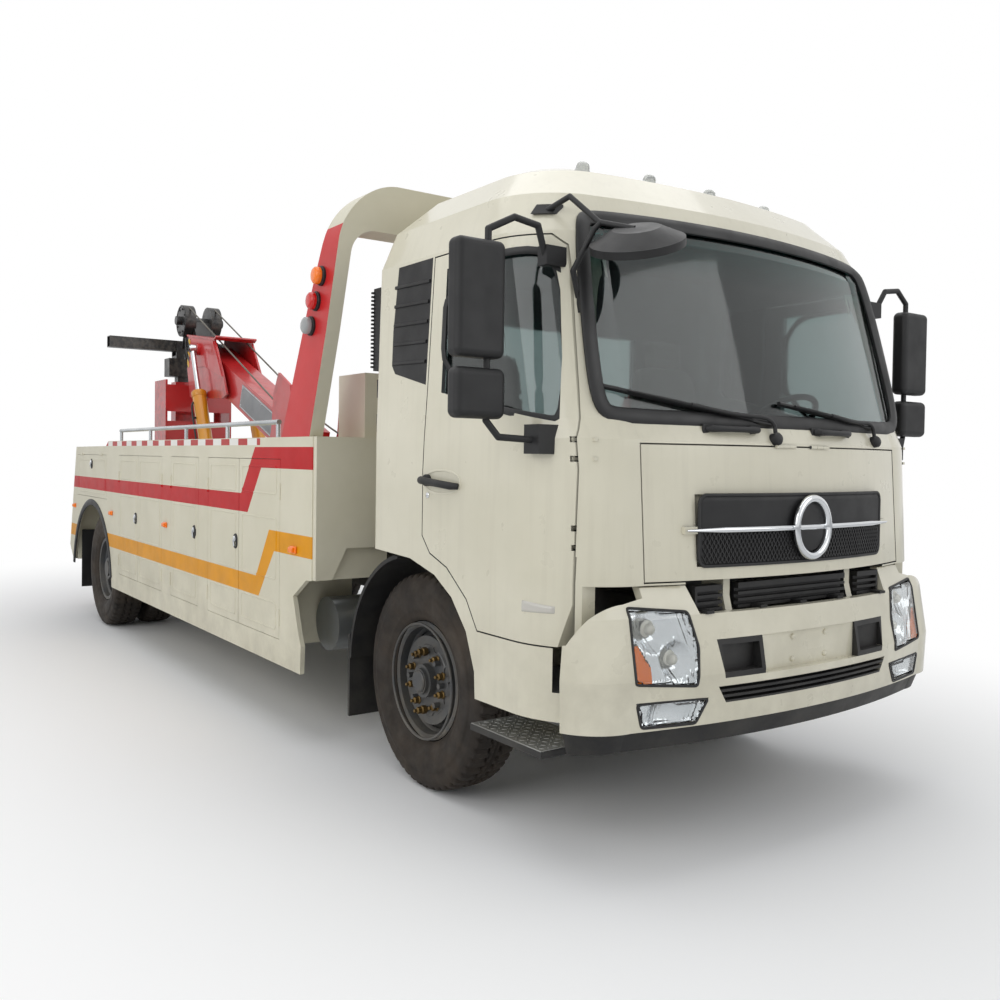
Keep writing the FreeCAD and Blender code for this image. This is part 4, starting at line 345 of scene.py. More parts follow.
# cab: paint outside with faint streaks, grey lining on the faces that look in to the middle of the cab
t = Tree("cab_paint")
inward = t.new("VectorMath", "SUBTRACT")
t.link(t.coord, inward.inputs[0])
inward.inputs[1].default_value = (FX + 0.42, 0, 1.85)
dot = t.new("VectorMath", "DOT_PRODUCT")
t.link(inward.outputs[0], dot.inputs[0])
t.link(t.new("TexCoord").outputs["Normal"], dot.inputs[1])
lining = t.below(dot.outputs["Value"], -0.02)
streak = t.span(t.noise(26, 4, 0.6, (1.0, 1.0, 0.045)), 0.50, 0.85)
col = t.mix(t.times(streak, 0.15), t.tone(CREAM, CREAM_2, 2.2), rgb("9E9784"))
col = t.mix(lining, t.dusty(col, 0.35, (0.5, 1.15)), t.tone(rgb("4A4C4D"), rgb("3D3F40"), 5))
t.finish(col, t.math("ADD", t.uneven(0.27, 0.31), t.times(lining, 0.4)), t.noise(150, 3), 0.02, 0.0004,
         Coat_Weight=0.5, Coat_Roughness=0.08)

# deck: tread plate on the faces that look up at deck height, cream paint on the walls
t = Tree("deck_and_walls")
flat = t.times(t.above(t.facing()["Z"], 0.6), t.below(t.z, 1.30))
ways = [t.math("SINE", t.times(t.math(op, t.x, t.y), 120.0)) for op in ("ADD", "SUBTRACT")]
raised = t.times(t.above(t.times(*ways), 0.45), flat)
plate = t.mix(t.times(raised, 0.4), t.tone(rgb("A7A49C"), rgb("8B887F"), 4, 5), rgb("C9C6BE"))
col = t.dusty(t.tone(CREAM, CREAM_2), 0.4, (0.5, 1.2), rough=0.55)
t.finish(t.mix(flat, col, plate), t.uneven(0.32, 0.5, 12), raised, 0.5, 0.002)

# tanks: grey metal below the frame, cream paint on the box that stands on the deck
t = Tree("tank_and_box")
box = t.above(t.z, 1.15)
grey = t.dusty(t.tone(rgb("8E9294"), rgb("7E8284")), 0.5, (0.3, 1.1), 5, cloud=(0.35, 0.72))
t.finish(t.mix(box, grey, t.tone(CREAM, CREAM_2)), t.uneven(0.32, 0.46), t.noise(60, 3), 0.05, 0.0006,
         Metallic=t.times(t.math("SUBTRACT", 1.0, box), 0.7))

SPECIAL = {"portal_arch": "portal_paint", "body_deck": "deck_and_walls", "tanks": "tank_and_box",
           "body_side_right": "livery", "body_side_left": "livery"}
for node in ("cab_shell", "cab_roof", "door_right", "door_left", "cab_front_lid"):
    SPECIAL[node] = "cab_paint"
for node, obj in NODES.items():
    mats = obj.data.materials
    name = mats[0].name.split(".")[0] if mats else ""
    if "locker" in node or "arch_flap" in node:
        name = "livery"
    name = SPECIAL.get(node, name)
    if not mats:
        mats.append(None)
    for i in range(len(mats)):
        mats[i] = MATS.get(name, MATS["cream_paint"])

# ---- floor that fades to white
t = Tree("floor")
t.put(t.bsdf.inputs["Base Color"], (0.9, 0.9, 0.9, 1))
t.put(t.bsdf.inputs["Specular IOR Level"], 0.1)
grain = t.new("TexNoise", Scale=3).outputs[0]
t.link(t.new("MapRange", Value=grain, To_Min=0.88, To_Max=0.95).outputs[0], t.bsdf.inputs["Roughness"])
oval = t.new("Mapping", Vector=t.coord, Location=(-0.02, 0.0, 0), Scale=(0.11, 0.2, 1))
far = t.new("VectorMath", "LENGTH", Vector=oval.outputs[0])
fade = t.new("MapRange", Value=far.outputs["Value"], From_Min=0.36, From_Max=0.95)
fade.interpolation_type = "SMOOTHSTEP"
ray = t.new("LightPath").outputs
seen = t.math("MAXIMUM", ray["Is Camera Ray"], ray["Is Transmission Ray"])
white = t.new("Emission", Strength=1.0)
t.link(t.shaders(t.times(fade.outputs[0], seen), t.bsdf.outputs[0], white.outputs[0]),
       t.nt.nodes["Material Output"].inputs[0])
floor_mesh = bpy.data.meshes.new("floor")
floor_mesh.from_pydata([(-40, -40, 0), (40, -40, 0), (40, 40, 0), (-40, 40, 0)], [], [(0, 1, 2, 3)])
floor_mesh.materials.append(t.mat)
floor = bpy.data.objects.new("floor", floor_mesh)
scene.collection.objects.link(floor)

# ---- mesh tools
TREAD_EDGE = 0.104
SHOULDER_DROP, ZIGZAG = 0.0105, 0.004
GROOVE_HALF, GROOVE_DEEP, LUG_DEEP, SIPE_DEEP = 0.0045, 0.013, 0.012, 0.006
WALL = [(-0.089, 0.283), (-0.098, 0.292), (-0.104, 0.305), (-0.112, 0.325), (-0.1155, 0.330), (-0.1165, 0.336),
        (-0.124, 0.365), (-0.1285, 0.395), (-0.1292, 0.408), (-0.1285, 0.420), (-0.1262, 0.423), (-0.1258, 0.430),
        (-0.1222, 0.452), (-0.1225, 0.458), (-0.1170, 0.474), (-0.1120, 0.484)]
HALF_CROWN = [0.010, 0.023, 0.0255, 0.0295, 0.032, 0.045, 0.057, 0.0595, 0.0635, 0.066, 0.078, 0.090, 0.098,
              TREAD_EDGE]
CROWN = [-t for t in reversed(HALF_CROWN)] + [0.0] + HALF_CROWN


def headings(pts, closed):
    """Direction of a path at each of its points."""
    n = len(pts)
    if closed:
        return [(pts[(i + 1) % n] - pts[i - 1]).normalized() for i in range(n)]
    return [(pts[min(i + 1, n - 1)] - pts[max(i - 1, 0)]).normalized() for i in range(n)]


class Geo:
    """Gathers the faces of one piece and makes the object."""

    def __init__(self):
        self.v = []
        self.f = []

    def add(self, verts, faces):
        off = len(self.v)
        self.v += [Vector(p) for p in verts]
        self.f += [tuple(off + i for i in f) for f in faces]

    def box(self, lo, hi, turn=None):
        (x0, y0, z0), (x1, y1, z1) = lo, hi
        pts = [Vector(p) for p in ((x0, y0, z0), (x1, y0, z0), (x1, y1, z0), (x0, y1, z0),
                                   (x0, y0, z1), (x1, y0, z1), (x1, y1, z1), (x0, y1, z1))]
        if turn:
            pts = [turn @ p for p in pts]
        self.add(pts, [(0, 3, 2, 1), (4, 5, 6, 7), (0, 1, 5, 4), (1, 2, 6, 5), (2, 3, 7, 6), (3, 0, 4, 7)])

    def prism(self, outline, axis, lo, hi):
        """Outline in the plane across axis: y takes (x, z), x takes (y, z)."""
        n = len(outline)
        put = {"y": lambda p, t: (p[0], t, p[1]), "x": lambda p, t: (t, p[0], p[1])}[axis]
        self.add([put(p, lo) for p in outline] + [put(p, hi) for p in outline],
                 [tuple(range(n)), tuple(range(2 * n - 1, n - 1, -1))]
                 + [(i, (i + 1) % n, n + (i + 1) % n, n + i) for i in range(n)])

    def sweep(self, rings, closed=False):
        """Skin over a row of rings, with capped ends unless the row is closed."""
        count, m = len(rings), len(rings[0])
        faces = []
        for i in range(count if closed else count - 1):
            j = (i + 1) % count
            faces += [(i * m + k, i * m + (k + 1) % m, j * m + (k + 1) % m, j * m + k) for k in range(m)]
        if not closed:
            faces += [tuple(reversed(range(m))), tuple((count - 1) * m + k for k in range(m))]
        self.add([p for ring in rings for p in ring], faces)

    def lathe(self, profile, centre, axis, n):
        """Profile of (distance along axis, radius), turned about the axis through centre."""
        axis = Vector(axis).normalized()
        a = axis.orthogonal().normalized()
        b = axis.cross(a)
        spokes = [a * c + b * s for c, s in circle(n)]
        self.sweep([[Vector(centre) + axis * t + spoke * max(r, 1e-5) for spoke in spokes] for t, r in profile])

    def tube(self, pts, r, n, closed=False):
        """Round bar along points, with one radius or a radius for each point."""
        pts = [Vector(p) for p in pts]
        radii = r if isinstance(r, list) else [r] * len(pts)
        rings = []
        side = None
        for p, d, radius in zip(pts, headings(pts, closed), radii):
            if side is None:
                side = d.orthogonal().normalized()
            side = (side - d * side.dot(d)).normalized()
            b = d.cross(side)
            rings.append([p + (side * c + b * s) * radius for c, s in circle(n)])
        self.sweep(rings, closed)

    def bead(self, pts, normals, width, height, closed=True):
        """Low wide moulding along points; normals is one vector or a list."""
        if not isinstance(normals, list):
            normals = [Vector(normals)] * len(pts)
        w, h = width / 2, height
        cut = [(-w, -0.004), (-w, h * 0.35), (-w * 0.72, h * 0.85), (0, h), (w * 0.72, h * 0.85), (w, h * 0.35),
               (w, -0.004)]
        rings = []
        for p, d, out in zip(pts, headings(pts, closed), normals):
            across = d.cross(out).normalized()
            rings.append([p + across * u + out * q for u, q in cut])
        self.sweep(rings, closed)

    def make(self, name, mat, body, bevel=0.0, angle=35, segs=2):
        me = bpy.data.meshes.new(name)
        me.from_pydata([tuple(p) for p in self.v], [], self.f)
        me.validate()
        bm = bmesh.new()
        bm.from_mesh(me)
        bmesh.ops.recalc_face_normals(bm, faces=bm.faces)
        bm.to_mesh(me)
        bm.free()
        me.update()
        ob = link_mesh(name, me, mat)
        me.set_sharp_from_angle(angle=math.radians(angle))
        if bevel:
            m = ob.modifiers.new("soft_edges", "BEVEL")
            m.width = bevel
            m.segments = segs
            m.limit_method = "ANGLE"
            m.angle_limit = math.radians(40)
        if body is not None:
            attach(ob, body)
        return ob


def link_mesh(name, me, mat):
    """Smooth-shaded object of a mesh, in one material."""
    for p in me.polygons:
        p.use_smooth = True
    me.materials.append(MATS[mat])
    ob = bpy.data.objects.new(name, me)
    scene.collection.objects.link(ob)
    return ob


def solidify(ob, name, thickness, offset=-1):
    m = ob.modifiers.new(name, "SOLIDIFY")
    m.thickness = thickness
    m.offset = offset


def smooth_path(pts, turns, closed=False):
    """Corners of a path rounded by repeated corner cutting."""
    pts = [Vector(p) for p in pts]
    for _ in range(turns):
        out = []
        n = len(pts)
        for i in range(n if closed else n - 1):
            a, b = pts[i], pts[(i + 1) % n]
            out += [a * 0.75 + b * 0.25, a * 0.25 + b * 0.75]
        pts = out if closed else [pts[0]] + out + [pts[-1]]
    return pts


def dense(pts, step, closed=False):
    """Path with extra points, no further apart than about the step."""
    pts = [Vector(p) for p in pts]
    out = []
    n = len(pts)
    for i in range(n if closed else n - 1):
        a, b = pts[i], pts[(i + 1) % n]
        k = max(1, int((b - a).length / step))
        out += [a.lerp(b, j / k) for j in range(k)]
    return out if closed else out + [pts[-1]]


def flat_path(outline):
    return [(a, b, 0) for a, b in outline]


def rounded(outline, step, turns=2):
    """Closed outline with its corners rounded off within about the step."""
    return smooth_path(dense(flat_path(outline), step, True), turns, True)


def surface_of(*names):
    verts, polys = [], []
    for name in names:
        me = NODES[name].data
        off = len(verts)
        verts += [v.co.copy() for v in me.vertices]
        polys += [tuple(off + i for i in p.vertices) for p in me.polygons]
    return BVHTree.FromPolygons(verts, polys)


def on_front(tree, y, z):
    """Point and normal met from the front; both are None where nothing is met."""
    return tree.ray_cast(Vector((FX + 3, y, z)), Vector((-1, 0, 0)))[:2]


def on_side(tree, x, z, s):
    """Point and normal met from the side s."""
    return tree.ray_cast(Vector((FX + x, s * 3, z)), Vector((0, -s, 0)))[:2]


def relax(pts, times):
    """Closed row of points drawn towards its neighbours."""
    n = len(pts)
    for _ in range(times):
        pts = [(pts[i - 1] + pts[i] * 2 + pts[(i + 1) % n]) / 4 for i in range(n)]
    return pts


# ---- tyres and wheel trim
def tyre_piece(name, middles, body, node, lugs, ribs):
    """Tyres with grooved tread, shoulder lugs, sidewall rings and a bead over the rim flange."""
    lo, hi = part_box(node)
    big = (hi.z - lo.z) / 2
    cx, cz = (lo.x + hi.x) / 2, (lo.z + hi.z) / 2
    steps = 6
    n = lugs * steps
    g = Geo()
    for middle in middles:
        verts = []
        for i in range(n):
            a = TAU * i / n
            phase = i % steps
            ring = list(WALL)
            for t in CROWN:
                r = big - SHOULDER_DROP * (abs(t) / TREAD_EDGE) ** 4
                shifted = t + ZIGZAG * (1 if phase < steps / 2 else -1)
                if any(abs(abs(shifted) - c) < GROOVE_HALF for c in ribs):
                    r -= GROOVE_DEEP
                elif abs(t) > 0.070 and phase in (0, 1):
                    r -= LUG_DEEP
                elif 0.03 < abs(t) <= 0.070 and lugs > 50 and phase == 0:
                    r -= SIPE_DEEP
                ring.append((t, r))
            ring += [(-t, r) for t, r in reversed(WALL)]
            verts += [Vector((cx + r * math.sin(a), middle + t, cz + r * math.cos(a))) for t, r in ring]
        m = len(ring)
        faces = []
        for i in range(n):
            j = (i + 1) % n
            faces += [(i * m + k, i * m + k + 1, j * m + k + 1, j * m + k) for k in range(m - 1)]
        g.add(verts, faces)
    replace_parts(g.make(name, "tyre", body, angle=40), node)


TWIN_HALF = 0.1295
for hand, s in HANDS:
    lo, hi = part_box("front_tyre_" + hand)
    tyre_piece("front_tyre_rubber_" + hand, [(lo.y + hi.y) / 2], "wheel_front_" + hand, "front_tyre_" + hand,
               56, (0.030, 0.0))
    lo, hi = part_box("rear_tyres_" + hand)
    tyre_piece("rear_tyre_rubber_" + hand, [lo.y + TWIN_HALF, hi.y - TWIN_HALF], "wheels_rear_" + hand,
               "rear_tyres_" + hand, 50, (0.030,))

# wheel nuts, flange ring and valve on every wheel, a cap on the front hubs
NUT_RING = 0.1375
for hand, s in HANDS:
    for kind, body, node, cx in (("front", "wheel_front_", "front_rim_", FX),
                                 ("rear", "wheels_rear_", "rear_rims_", RX)):
        tree = surface_of(node + hand)
        nuts = Geo()
        for c, q in circle(10, 0.31):
            x, z = cx + NUT_RING * c, AXLE + NUT_RING * q
            hit = on_side(tree, x - FX, z, s)[0]
            if hit is None:
                continue
            nuts.lathe([(-0.02, 0.0205), (0.004, 0.0205), (0.006, 0.0165), (0.026, 0.0165), (0.030, 0.013),
                        (0.031, 0.009), (0.044, 0.009), (0.046, 0.006)], (x, hit.y, z), (0, s, 0), 6)
        nuts.make("%s_wheel_nuts_%s" % (kind, hand), "brass", body + hand, bevel=0.0015)
        lip = Geo()
        lo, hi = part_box(node + hand)
        face = hi.y if s > 0 else lo.y
        lip.tube([(cx + 0.268 * c, face - s * 0.012, AXLE + 0.268 * q) for c, q in circle(48)], 0.007, 8, True)
        if kind == "front":
            lip.lathe([(-0.01, 0.052), (0.004, 0.052), (0.010, 0.046), (0.012, 0.030), (0.012, 0.0)],
                      (cx, on_side(tree, cx - FX, AXLE, s)[0].y, AXLE), (0, s, 0), 36)
        lip.tube([(cx + out, face - s * deep, AXLE + 0.03)
                  for out, deep in ((0.20, 0.06), (0.212, 0.03), (0.222, 0.016))], 0.004, 8)
        lip.make("%s_wheel_flange_%s" % (kind, hand), "rim_grey", body + hand, angle=30)

# ---- windscreen and side seals
SCREEN_HALF = [(0.877, 1.720), (0.932, 1.744), (0.958, 1.804), (0.951, 2.015), (0.929, 2.311), (0.904, 2.461),
               (0.882, 2.502), (0.834, 2.524)]
SCREEN = SCREEN_HALF + [(-y, z) for y, z in reversed(SCREEN_HALF)]
SCREEN_MIDDLE = 2.12
INNER, NEARER = 0.82, 0.90
DOOR_WINDOW = [(0.368, 2.368), (0.800, 2.372), (0.922, 2.378), (0.958, 2.340), (0.996, 2.209), (1.043, 1.949),
               (1.072, 1.712), (1.060, 1.703), (0.352, 1.840)]
front_skin = surface_of("cab_shell", "cab_roof", "cab_glass", "cab_front_lid")

# the windscreen's seal lies on the glass's own curve, carried on past its edge
glass_tree = surface_of("cab_glass")
reach = (1 - NEARER) / (NEARER - INNER)
pts, nors = [], []
for p in dense(smooth_path(flat_path(SCREEN), 2, True), 0.03, True):
    inner, nearer = [on_front(glass_tree, p.x * k, SCREEN_MIDDLE + (p.y - SCREEN_MIDDLE) * k)
                     for k in (INNER, NEARER)]
    if inner[0] is None or nearer[0] is None:
        continue
    pts.append(Vector((nearer[0].x + (nearer[0].x - inner[0].x) * reach, p.x, p.y)))
    nors.append(nearer[1] if nearer[1].x > 0 else -nearer[1])
nors = [v.normalized() for v in relax(nors, 8)]
g = Geo()
g.bead([p + v * 0.010 for p, v in zip(relax(pts, 3), nors)], nors, 0.062, 0.013)
g.make("windscreen_seal", "rubber_seal", "cab", angle=50)

for hand, s in HANDS:
    door = "door_" + hand
    tree = surface_of(door, "door_glass_" + hand)
    pts, nors = [], []
    for p in dense(smooth_path(flat_path(DOOR_WINDOW), 1, True), 0.03, True):
        hit, nor = on_side(tree, p.x, p.y, s)
        if hit is None:
            continue
        pts.append(hit)
        nors.append(nor if nor.y * s > 0 else -nor)
    g = Geo()
    g.bead(relax(pts, 1), [v.normalized() for v in relax(nors, 6)], 0.030, 0.0065)
    g.make("door_window_seal_" + hand, "rubber_seal", door, angle=50)
    # pull handle with a lock barrel, and its dished seat
    hx, hz = 0.372, 1.450
    y = on_side(tree, hx, hz, s)[0].y
    g = Geo()
    g.tube([P(x, y + s * out, z) for x, out, z in (
        (0.235, 0.004, 1.461), (0.245, 0.026, 1.461), (0.29, 0.033, 1.458), (0.40, 0.034, 1.450),
        (0.485, 0.030, 1.443), (0.508, 0.004, 1.441))], [0.014, 0.018, 0.017, 0.016, 0.016, 0.013], 14)
    g.lathe([(-0.004, 0.026), (0.012, 0.026), (0.016, 0.021), (0.016, 0.0)], P(0.262, y + s * 0.004, 1.461),
            (0, s, 0), 24)
    g.make("door_handle_" + hand, "black_plastic", door, angle=60)
    g = Geo()
    g.bead([P(hx + 0.145 * c, y, hz + 0.044 * q + (0.012 if q > 0 else 0)) for c, q in circle(40)], (0, s, 0),
           0.010, 0.003)
    g.make("door_handle_dish_" + hand, "cream_paint", door)
    g = Geo()
    g.lathe([(-0.002, 0.013), (0.004, 0.013), (0.006, 0.010), (0.006, 0.0)], P(0.262, y, 1.395), (0, s, 0), 20)
    g.make("door_lock_" + hand, "chrome", door)
    # ribbed vent panel behind the door
    vent_tree = surface_of("cab_shell", "cab_trim")
    g = Geo()
    for k in range(5):
        pts = []
        for j in range(14):
            x = -0.075 + (0.307 - 0.0048 * k) * j / 13
            hit = on_side(vent_tree, x, 2.345 - k * 0.088 - 0.028 * (x + 0.075), s)[0]
            if hit is not None:
                pts.append(hit + Vector((0, s * 0.001, 0)))
        g.bead(pts, Vector((0, s, 0.1)).normalized(), 0.016, 0.006, closed=False)
    g.make("vent_ribs_" + hand, "black_plastic", "cab", angle=40)

# two grab handles on the strip below the windscreen
HANDLE = ((0.02, 0.002, 0.012), (0.08, 0.024, 0.014), (0.2, 0.029, 0.013), (0.4, 0.030, 0.012),
          (0.6, 0.030, 0.012), (0.8, 0.029, 0.013), (0.92, 0.024, 0.014), (0.98, 0.002, 0.012))
HANDLE_Z = 1.689
for k, (ya, yb) in enumerate(((-0.515, -0.245), (0.105, 0.365))):
    g = Geo()
    g.tube([on_front(front_skin, ya + (yb - ya) * part, HANDLE_Z)[0] + Vector((lift, 0, 0))
            for part, lift, r in HANDLE], [r for part, lift, r in HANDLE], 14)
    for y in (ya + (yb - ya) * 0.06, ya + (yb - ya) * 0.94):
        x = on_front(front_skin, y, HANDLE_Z)[0].x
        g.box((x - 0.004, y - 0.030, HANDLE_Z - 0.018), (x + 0.007, y + 0.030, HANDLE_Z + 0.018))
    g.make("front_grab_handle_%d" % k, "black_plastic", "cab", bevel=0.003, angle=50)

# ---- wipers
screen_tree = surface_of("cab_glass", "cab_shell", "cab_roof")


def screen_point(y, z, lift):
    hit, nor = on_front(screen_tree, y, z)
    return hit + (nor if nor.x > 0 else -nor) * lift


arms = Geo()
blades = Geo()
for (py, pz), (ay, az), (by, bz) in (((-0.165, 1.655), (-0.925, 1.835), (-0.170, 1.705)),
                                     ((0.600, 1.660), (-0.080, 1.800), (0.610, 1.712))):
    base = on_front(front_skin, py, pz)[0] + Vector((0.012, 0, 0))
    mid_y, mid_z = (ay * 0.52 + by * 0.48), (az * 0.52 + bz * 0.48)
    arms.tube(smooth_path([base, screen_point(py * 0.98, pz + 0.075, 0.045),
                           screen_point((py + mid_y) / 2, (pz + mid_z) / 2 + 0.02, 0.046),
                           screen_point(mid_y, mid_z, 0.034)], 2), 0.0085, 8)
    arms.lathe([(-0.02, 0.026), (0.012, 0.026), (0.020, 0.018), (0.022, 0.0)], base, (1, 0, 0.2), 20)
    along = [(ay + (by - ay) * k / 16, az + (bz - az) * k / 16) for k in range(17)]
    blades.bead([screen_point(y, z, 0.012) for y, z in along], (0.93, 0, 0.36), 0.016, 0.015, closed=False)
    arms.tube([screen_point(*along[k], 0.026 + 0.008 * math.sin(math.pi * k / 16)) for k in range(2, 15)],
              0.0055, 6)
arms.make("wiper_arms", "black_plastic", "cab", angle=60)
blades.make("wiper_blades", "rubber_seal", "cab")

# ---- grille on the front lid
lid_tree = surface_of("cab_front_lid")
AHEAD = (1, 0, 0)


def lid_x(y):
    """How far forward the lid stands at y, with its recess passed over."""
    hits = [on_front(lid_tree, y, z)[0] for z in (1.145, 1.46)]
    return max(FX + 1.38 if hit is None else hit.x for hit in hits)


def lid_patch(g, y1, z0, z1, lift, corner):
    """Rounded rectangle from -y1 to y1 that follows the bow of the lid."""
    ny, nz = 60, 10
    verts, faces = [], []
    for i in range(ny + 1):
        y = -y1 + 2 * y1 * i / ny
        edge = min(y + y1, y1 - y)
        inset = corner - math.sqrt(max(0.0, corner * corner - (corner - edge) ** 2)) if edge < corner else 0
        verts += [(lid_x(y) + lift, y, (z0 + inset) + (z1 - z0 - 2 * inset) * k / nz) for k in range(nz + 1)]
    for i in range(ny):
        for k in range(nz):
            a = i * (nz + 1) + k
            faces.append((a, a + nz + 1, a + nz + 2, a + 1))
    g.add(verts, faces)


g = Geo()
lid_patch(g, 0.588, 1.156, 1.434, 0.0022, 0.035)
solidify(g.make("grille_backing", "black_plastic", "front_lid"), "depth", 0.004, 1)
MESH_LOW, MESH_HIGH = 1.168, 1.287
g = Geo()
for k in range(-58, 76):
    for slope in (1, -1):
        pts = []
        for j in range(9):
            rise = (MESH_HIGH - MESH_LOW) * j / 8
            y = k * 0.0205 + slope * rise * 0.62 + (0.0 if slope > 0 else 0.02)
            if abs(y) < 0.574:
                pts.append(Vector((lid_x(y) + 0.0085, y, MESH_LOW + rise)))
        if len(pts) > 2:
            g.tube(pts, 0.0036, 4)
g.make("grille_mesh", "black_plastic", "front_lid", angle=60)
g = Geo()
rim = dense(rounded([(-0.585, 1.158), (0.585, 1.158), (0.585, 1.432), (-0.585, 1.432)], 0.07), 0.03, True)
g.bead([Vector((lid_x(p.x) + 0.004, p.x, p.y)) for p in rim], AHEAD, 0.013, 0.006)
g.make("grille_frame", "rubber_seal", "front_lid")
BAR_Z = 1.297
g = Geo()
g.tube([Vector((lid_x(y) + 0.016, y, BAR_Z)) for y in [-0.648 + 1.296 * k / 60 for k in range(61)]],
       [0.004 + 0.0085 * min(1, min(k, 60 - k) / 8) for k in range(61)], 12)
ring_x = lid_x(0) + 0.022
g.bead([Vector((ring_x + 0.004, 0.112 * c * 0.92, BAR_Z + 0.118 * q)) for c, q in circle(72)], AHEAD, 0.030, 0.016)
g.make("grille_bar_and_ring", "chrome", "front_lid", angle=50)
g = Geo()
g.lathe([(0.0, 0.100), (0.006, 0.098), (0.008, 0.090), (0.008, 0.0)], (ring_x - 0.010, 0, BAR_Z), AHEAD, 60)
g.make("grille_centre_disc", "black_plastic", "front_lid")

# screws of the blank number plate
bumper_tree = surface_of("front_bumper")
g = Geo()
for y in (-0.105, 0.105):
    for z in (0.765, 0.855):
        g.lathe([(-0.001, 0.012), (0.004, 0.012), (0.008, 0.009), (0.0095, 0.004), (0.0095, 0.0)],
                (on_front(bumper_tree, y + 0.012, z)[0].x, y, z), AHEAD, 20)
g.make("plate_screws", "cream_paint", "root", angle=50)

# ---- head and fog lamps
HEADLAMP = [(0.655, 0.993), (0.911, 1.018), (0.911, 0.743), (0.640, 0.717), (0.622, 0.860)]
FOGLAMP = [(0.584, 0.668), (0.905, 0.675), (0.880, 0.580), (0.640, 0.575)]
BULBS = ((0.800, 0.930), (0.716, 0.815))
lamp_tree = surface_of("lamps")


def sides_of(outline):
    return zip(outline, outline[1:] + outline[:1])


def inside_outline(y, z, outline):
    hit = False
    for (y1, z1), (y2, z2) in sides_of(outline):
        if (z1 > z) != (z2 > z) and y < (y2 - y1) * (z - z1) / (z2 - z1) + y1:
            hit = not hit
    return hit


def edge_gap(y, z, outline):
    """Distance from a point to the outline."""
    best = 9
    p = Vector((y, z))
    for a, b in sides_of(outline):
        a, b = Vector(a), Vector(b)
        t = max(0, min(1, (p - a).dot(b - a) / (b - a).length_squared))
        best = min(best, (p - (a + (b - a) * t)).length)
    return best


def lamp_x(y, z):
    hit = on_front(lamp_tree, y, z)[0]
    return hit.x if hit is not None and hit.x > FX else None


def patch(g, outline, s, depth, step=0.0065, region=None):
    """Sheet behind a lamp's face: depth(y, z) gives how far behind it lies."""
    ys, zs = zip(*outline)
    index = {}
    verts, faces = [], []
    for i in range(int((max(ys) - min(ys)) / step) + 1):
        for k in range(int((max(zs) - min(zs)) / step) + 1):
            y, z = min(ys) + i * step, min(zs) + k * step
            if not inside_outline(y, z, outline) or (region and not region(y, z)):
                continue
            x = lamp_x(s * y, z)
            if x is None:
                continue
            index[i, k] = len(verts)
            verts.append((x - depth(y, z), s * y, z))
    for i, k in index:
        cell = [(i, k), (i + 1, k), (i + 1, k + 1), (i, k + 1)]
        if all(c in index for c in cell):
            faces.append(tuple(index[c] for c in cell))
    g.add(verts, faces)


def bowl(y, z, cy, cz, r, deep, floor_depth):
    d = math.hypot(y - cy, z - cz)
    if d > r:
        return floor_depth
    return max(floor_depth, deep * (1 - (d / r) ** 2) + floor_depth * (d / r) ** 2)


def head_depth(y, z):
    edge = min(1.0, edge_gap(y, z, HEADLAMP) / 0.012)
    d = max(0.020, bowl(y, z, *BULBS[0], 0.088, 0.062, 0.020), bowl(y, z, *BULBS[1], 0.074, 0.058, 0.020))
    d += 0.0022 * math.sin((y - 0.3 * z) * 260) * (1 if d < 0.03 else 0.5)
    return 0.006 + (d - 0.006) * edge


def fog_depth(y, z):
    edge = min(1.0, edge_gap(y, z, FOGLAMP) / 0.010)
    d = max(0.016, bowl(y, z, 0.770, 0.625, 0.075, 0.052, 0.016)) + 0.0025 * math.sin((y + z * 0.4) * 330)
    return 0.005 + (d - 0.005) * edge


def amber_zone(y, z):
    return y > 0.835 + max(0.0, (z - 0.80)) * 0.55 and z < 0.885


for hand, s in HANDS:
    g = Geo()
    patch(g, HEADLAMP, s, head_depth, region=lambda y, z: not amber_zone(y, z))
    patch(g, FOGLAMP, s, fog_depth)
    g.make("lamp_reflectors_" + hand, "chrome", "root", angle=80)
    g = Geo()
    patch(g, HEADLAMP, s, lambda y, z: 0.010 + 0.003 * math.sin(y * 420) * math.sin(z * 420), region=amber_zone)
    g.make("indicator_lens_" + hand, "amber", "root", angle=80)
    g = Geo()
    for cy, cz in BULBS:
        g.lathe([(0.0, 0.033), (0.006, 0.033), (0.010, 0.022), (0.024, 0.022), (0.032, 0.0154), (0.035, 0.0)],
                (lamp_x(s * cy, cz) - 0.060, s * cy, cz), AHEAD, 24)
    g.make("lamp_bulbs_" + hand, "bulb", "root", angle=50)
    for outline, tag in ((HEADLAMP, "head"), (FOGLAMP, "fog")):
        g = Geo()
        patch(g, outline, s, lambda y, z: -0.0008, step=0.012)
        solidify(g.make("%slamp_glass_%s" % (tag, hand), "clear_lens", "root", angle=80), "thick", 0.003)
        middle = sum(v[0] for v in outline) / len(outline)
        pts = []
        for p in dense(rounded(outline, 0.02), 0.012, True):
            y, z = p.x - (p.x - middle) * 0.012, p.y
            x = lamp_x(s * y, z) or lamp_x(s * (y * 0.97 + 0.76 * 0.03), z * 0.97 + 0.86 * 0.03)
            if x:
                pts.append(Vector((x, s * y, z)))
        g = Geo()
        g.bead(relax(pts, 2), AHEAD, 0.010, 0.004)
        g.make("%slamp_bezel_%s" % (tag, hand), "rubber_seal", "root")
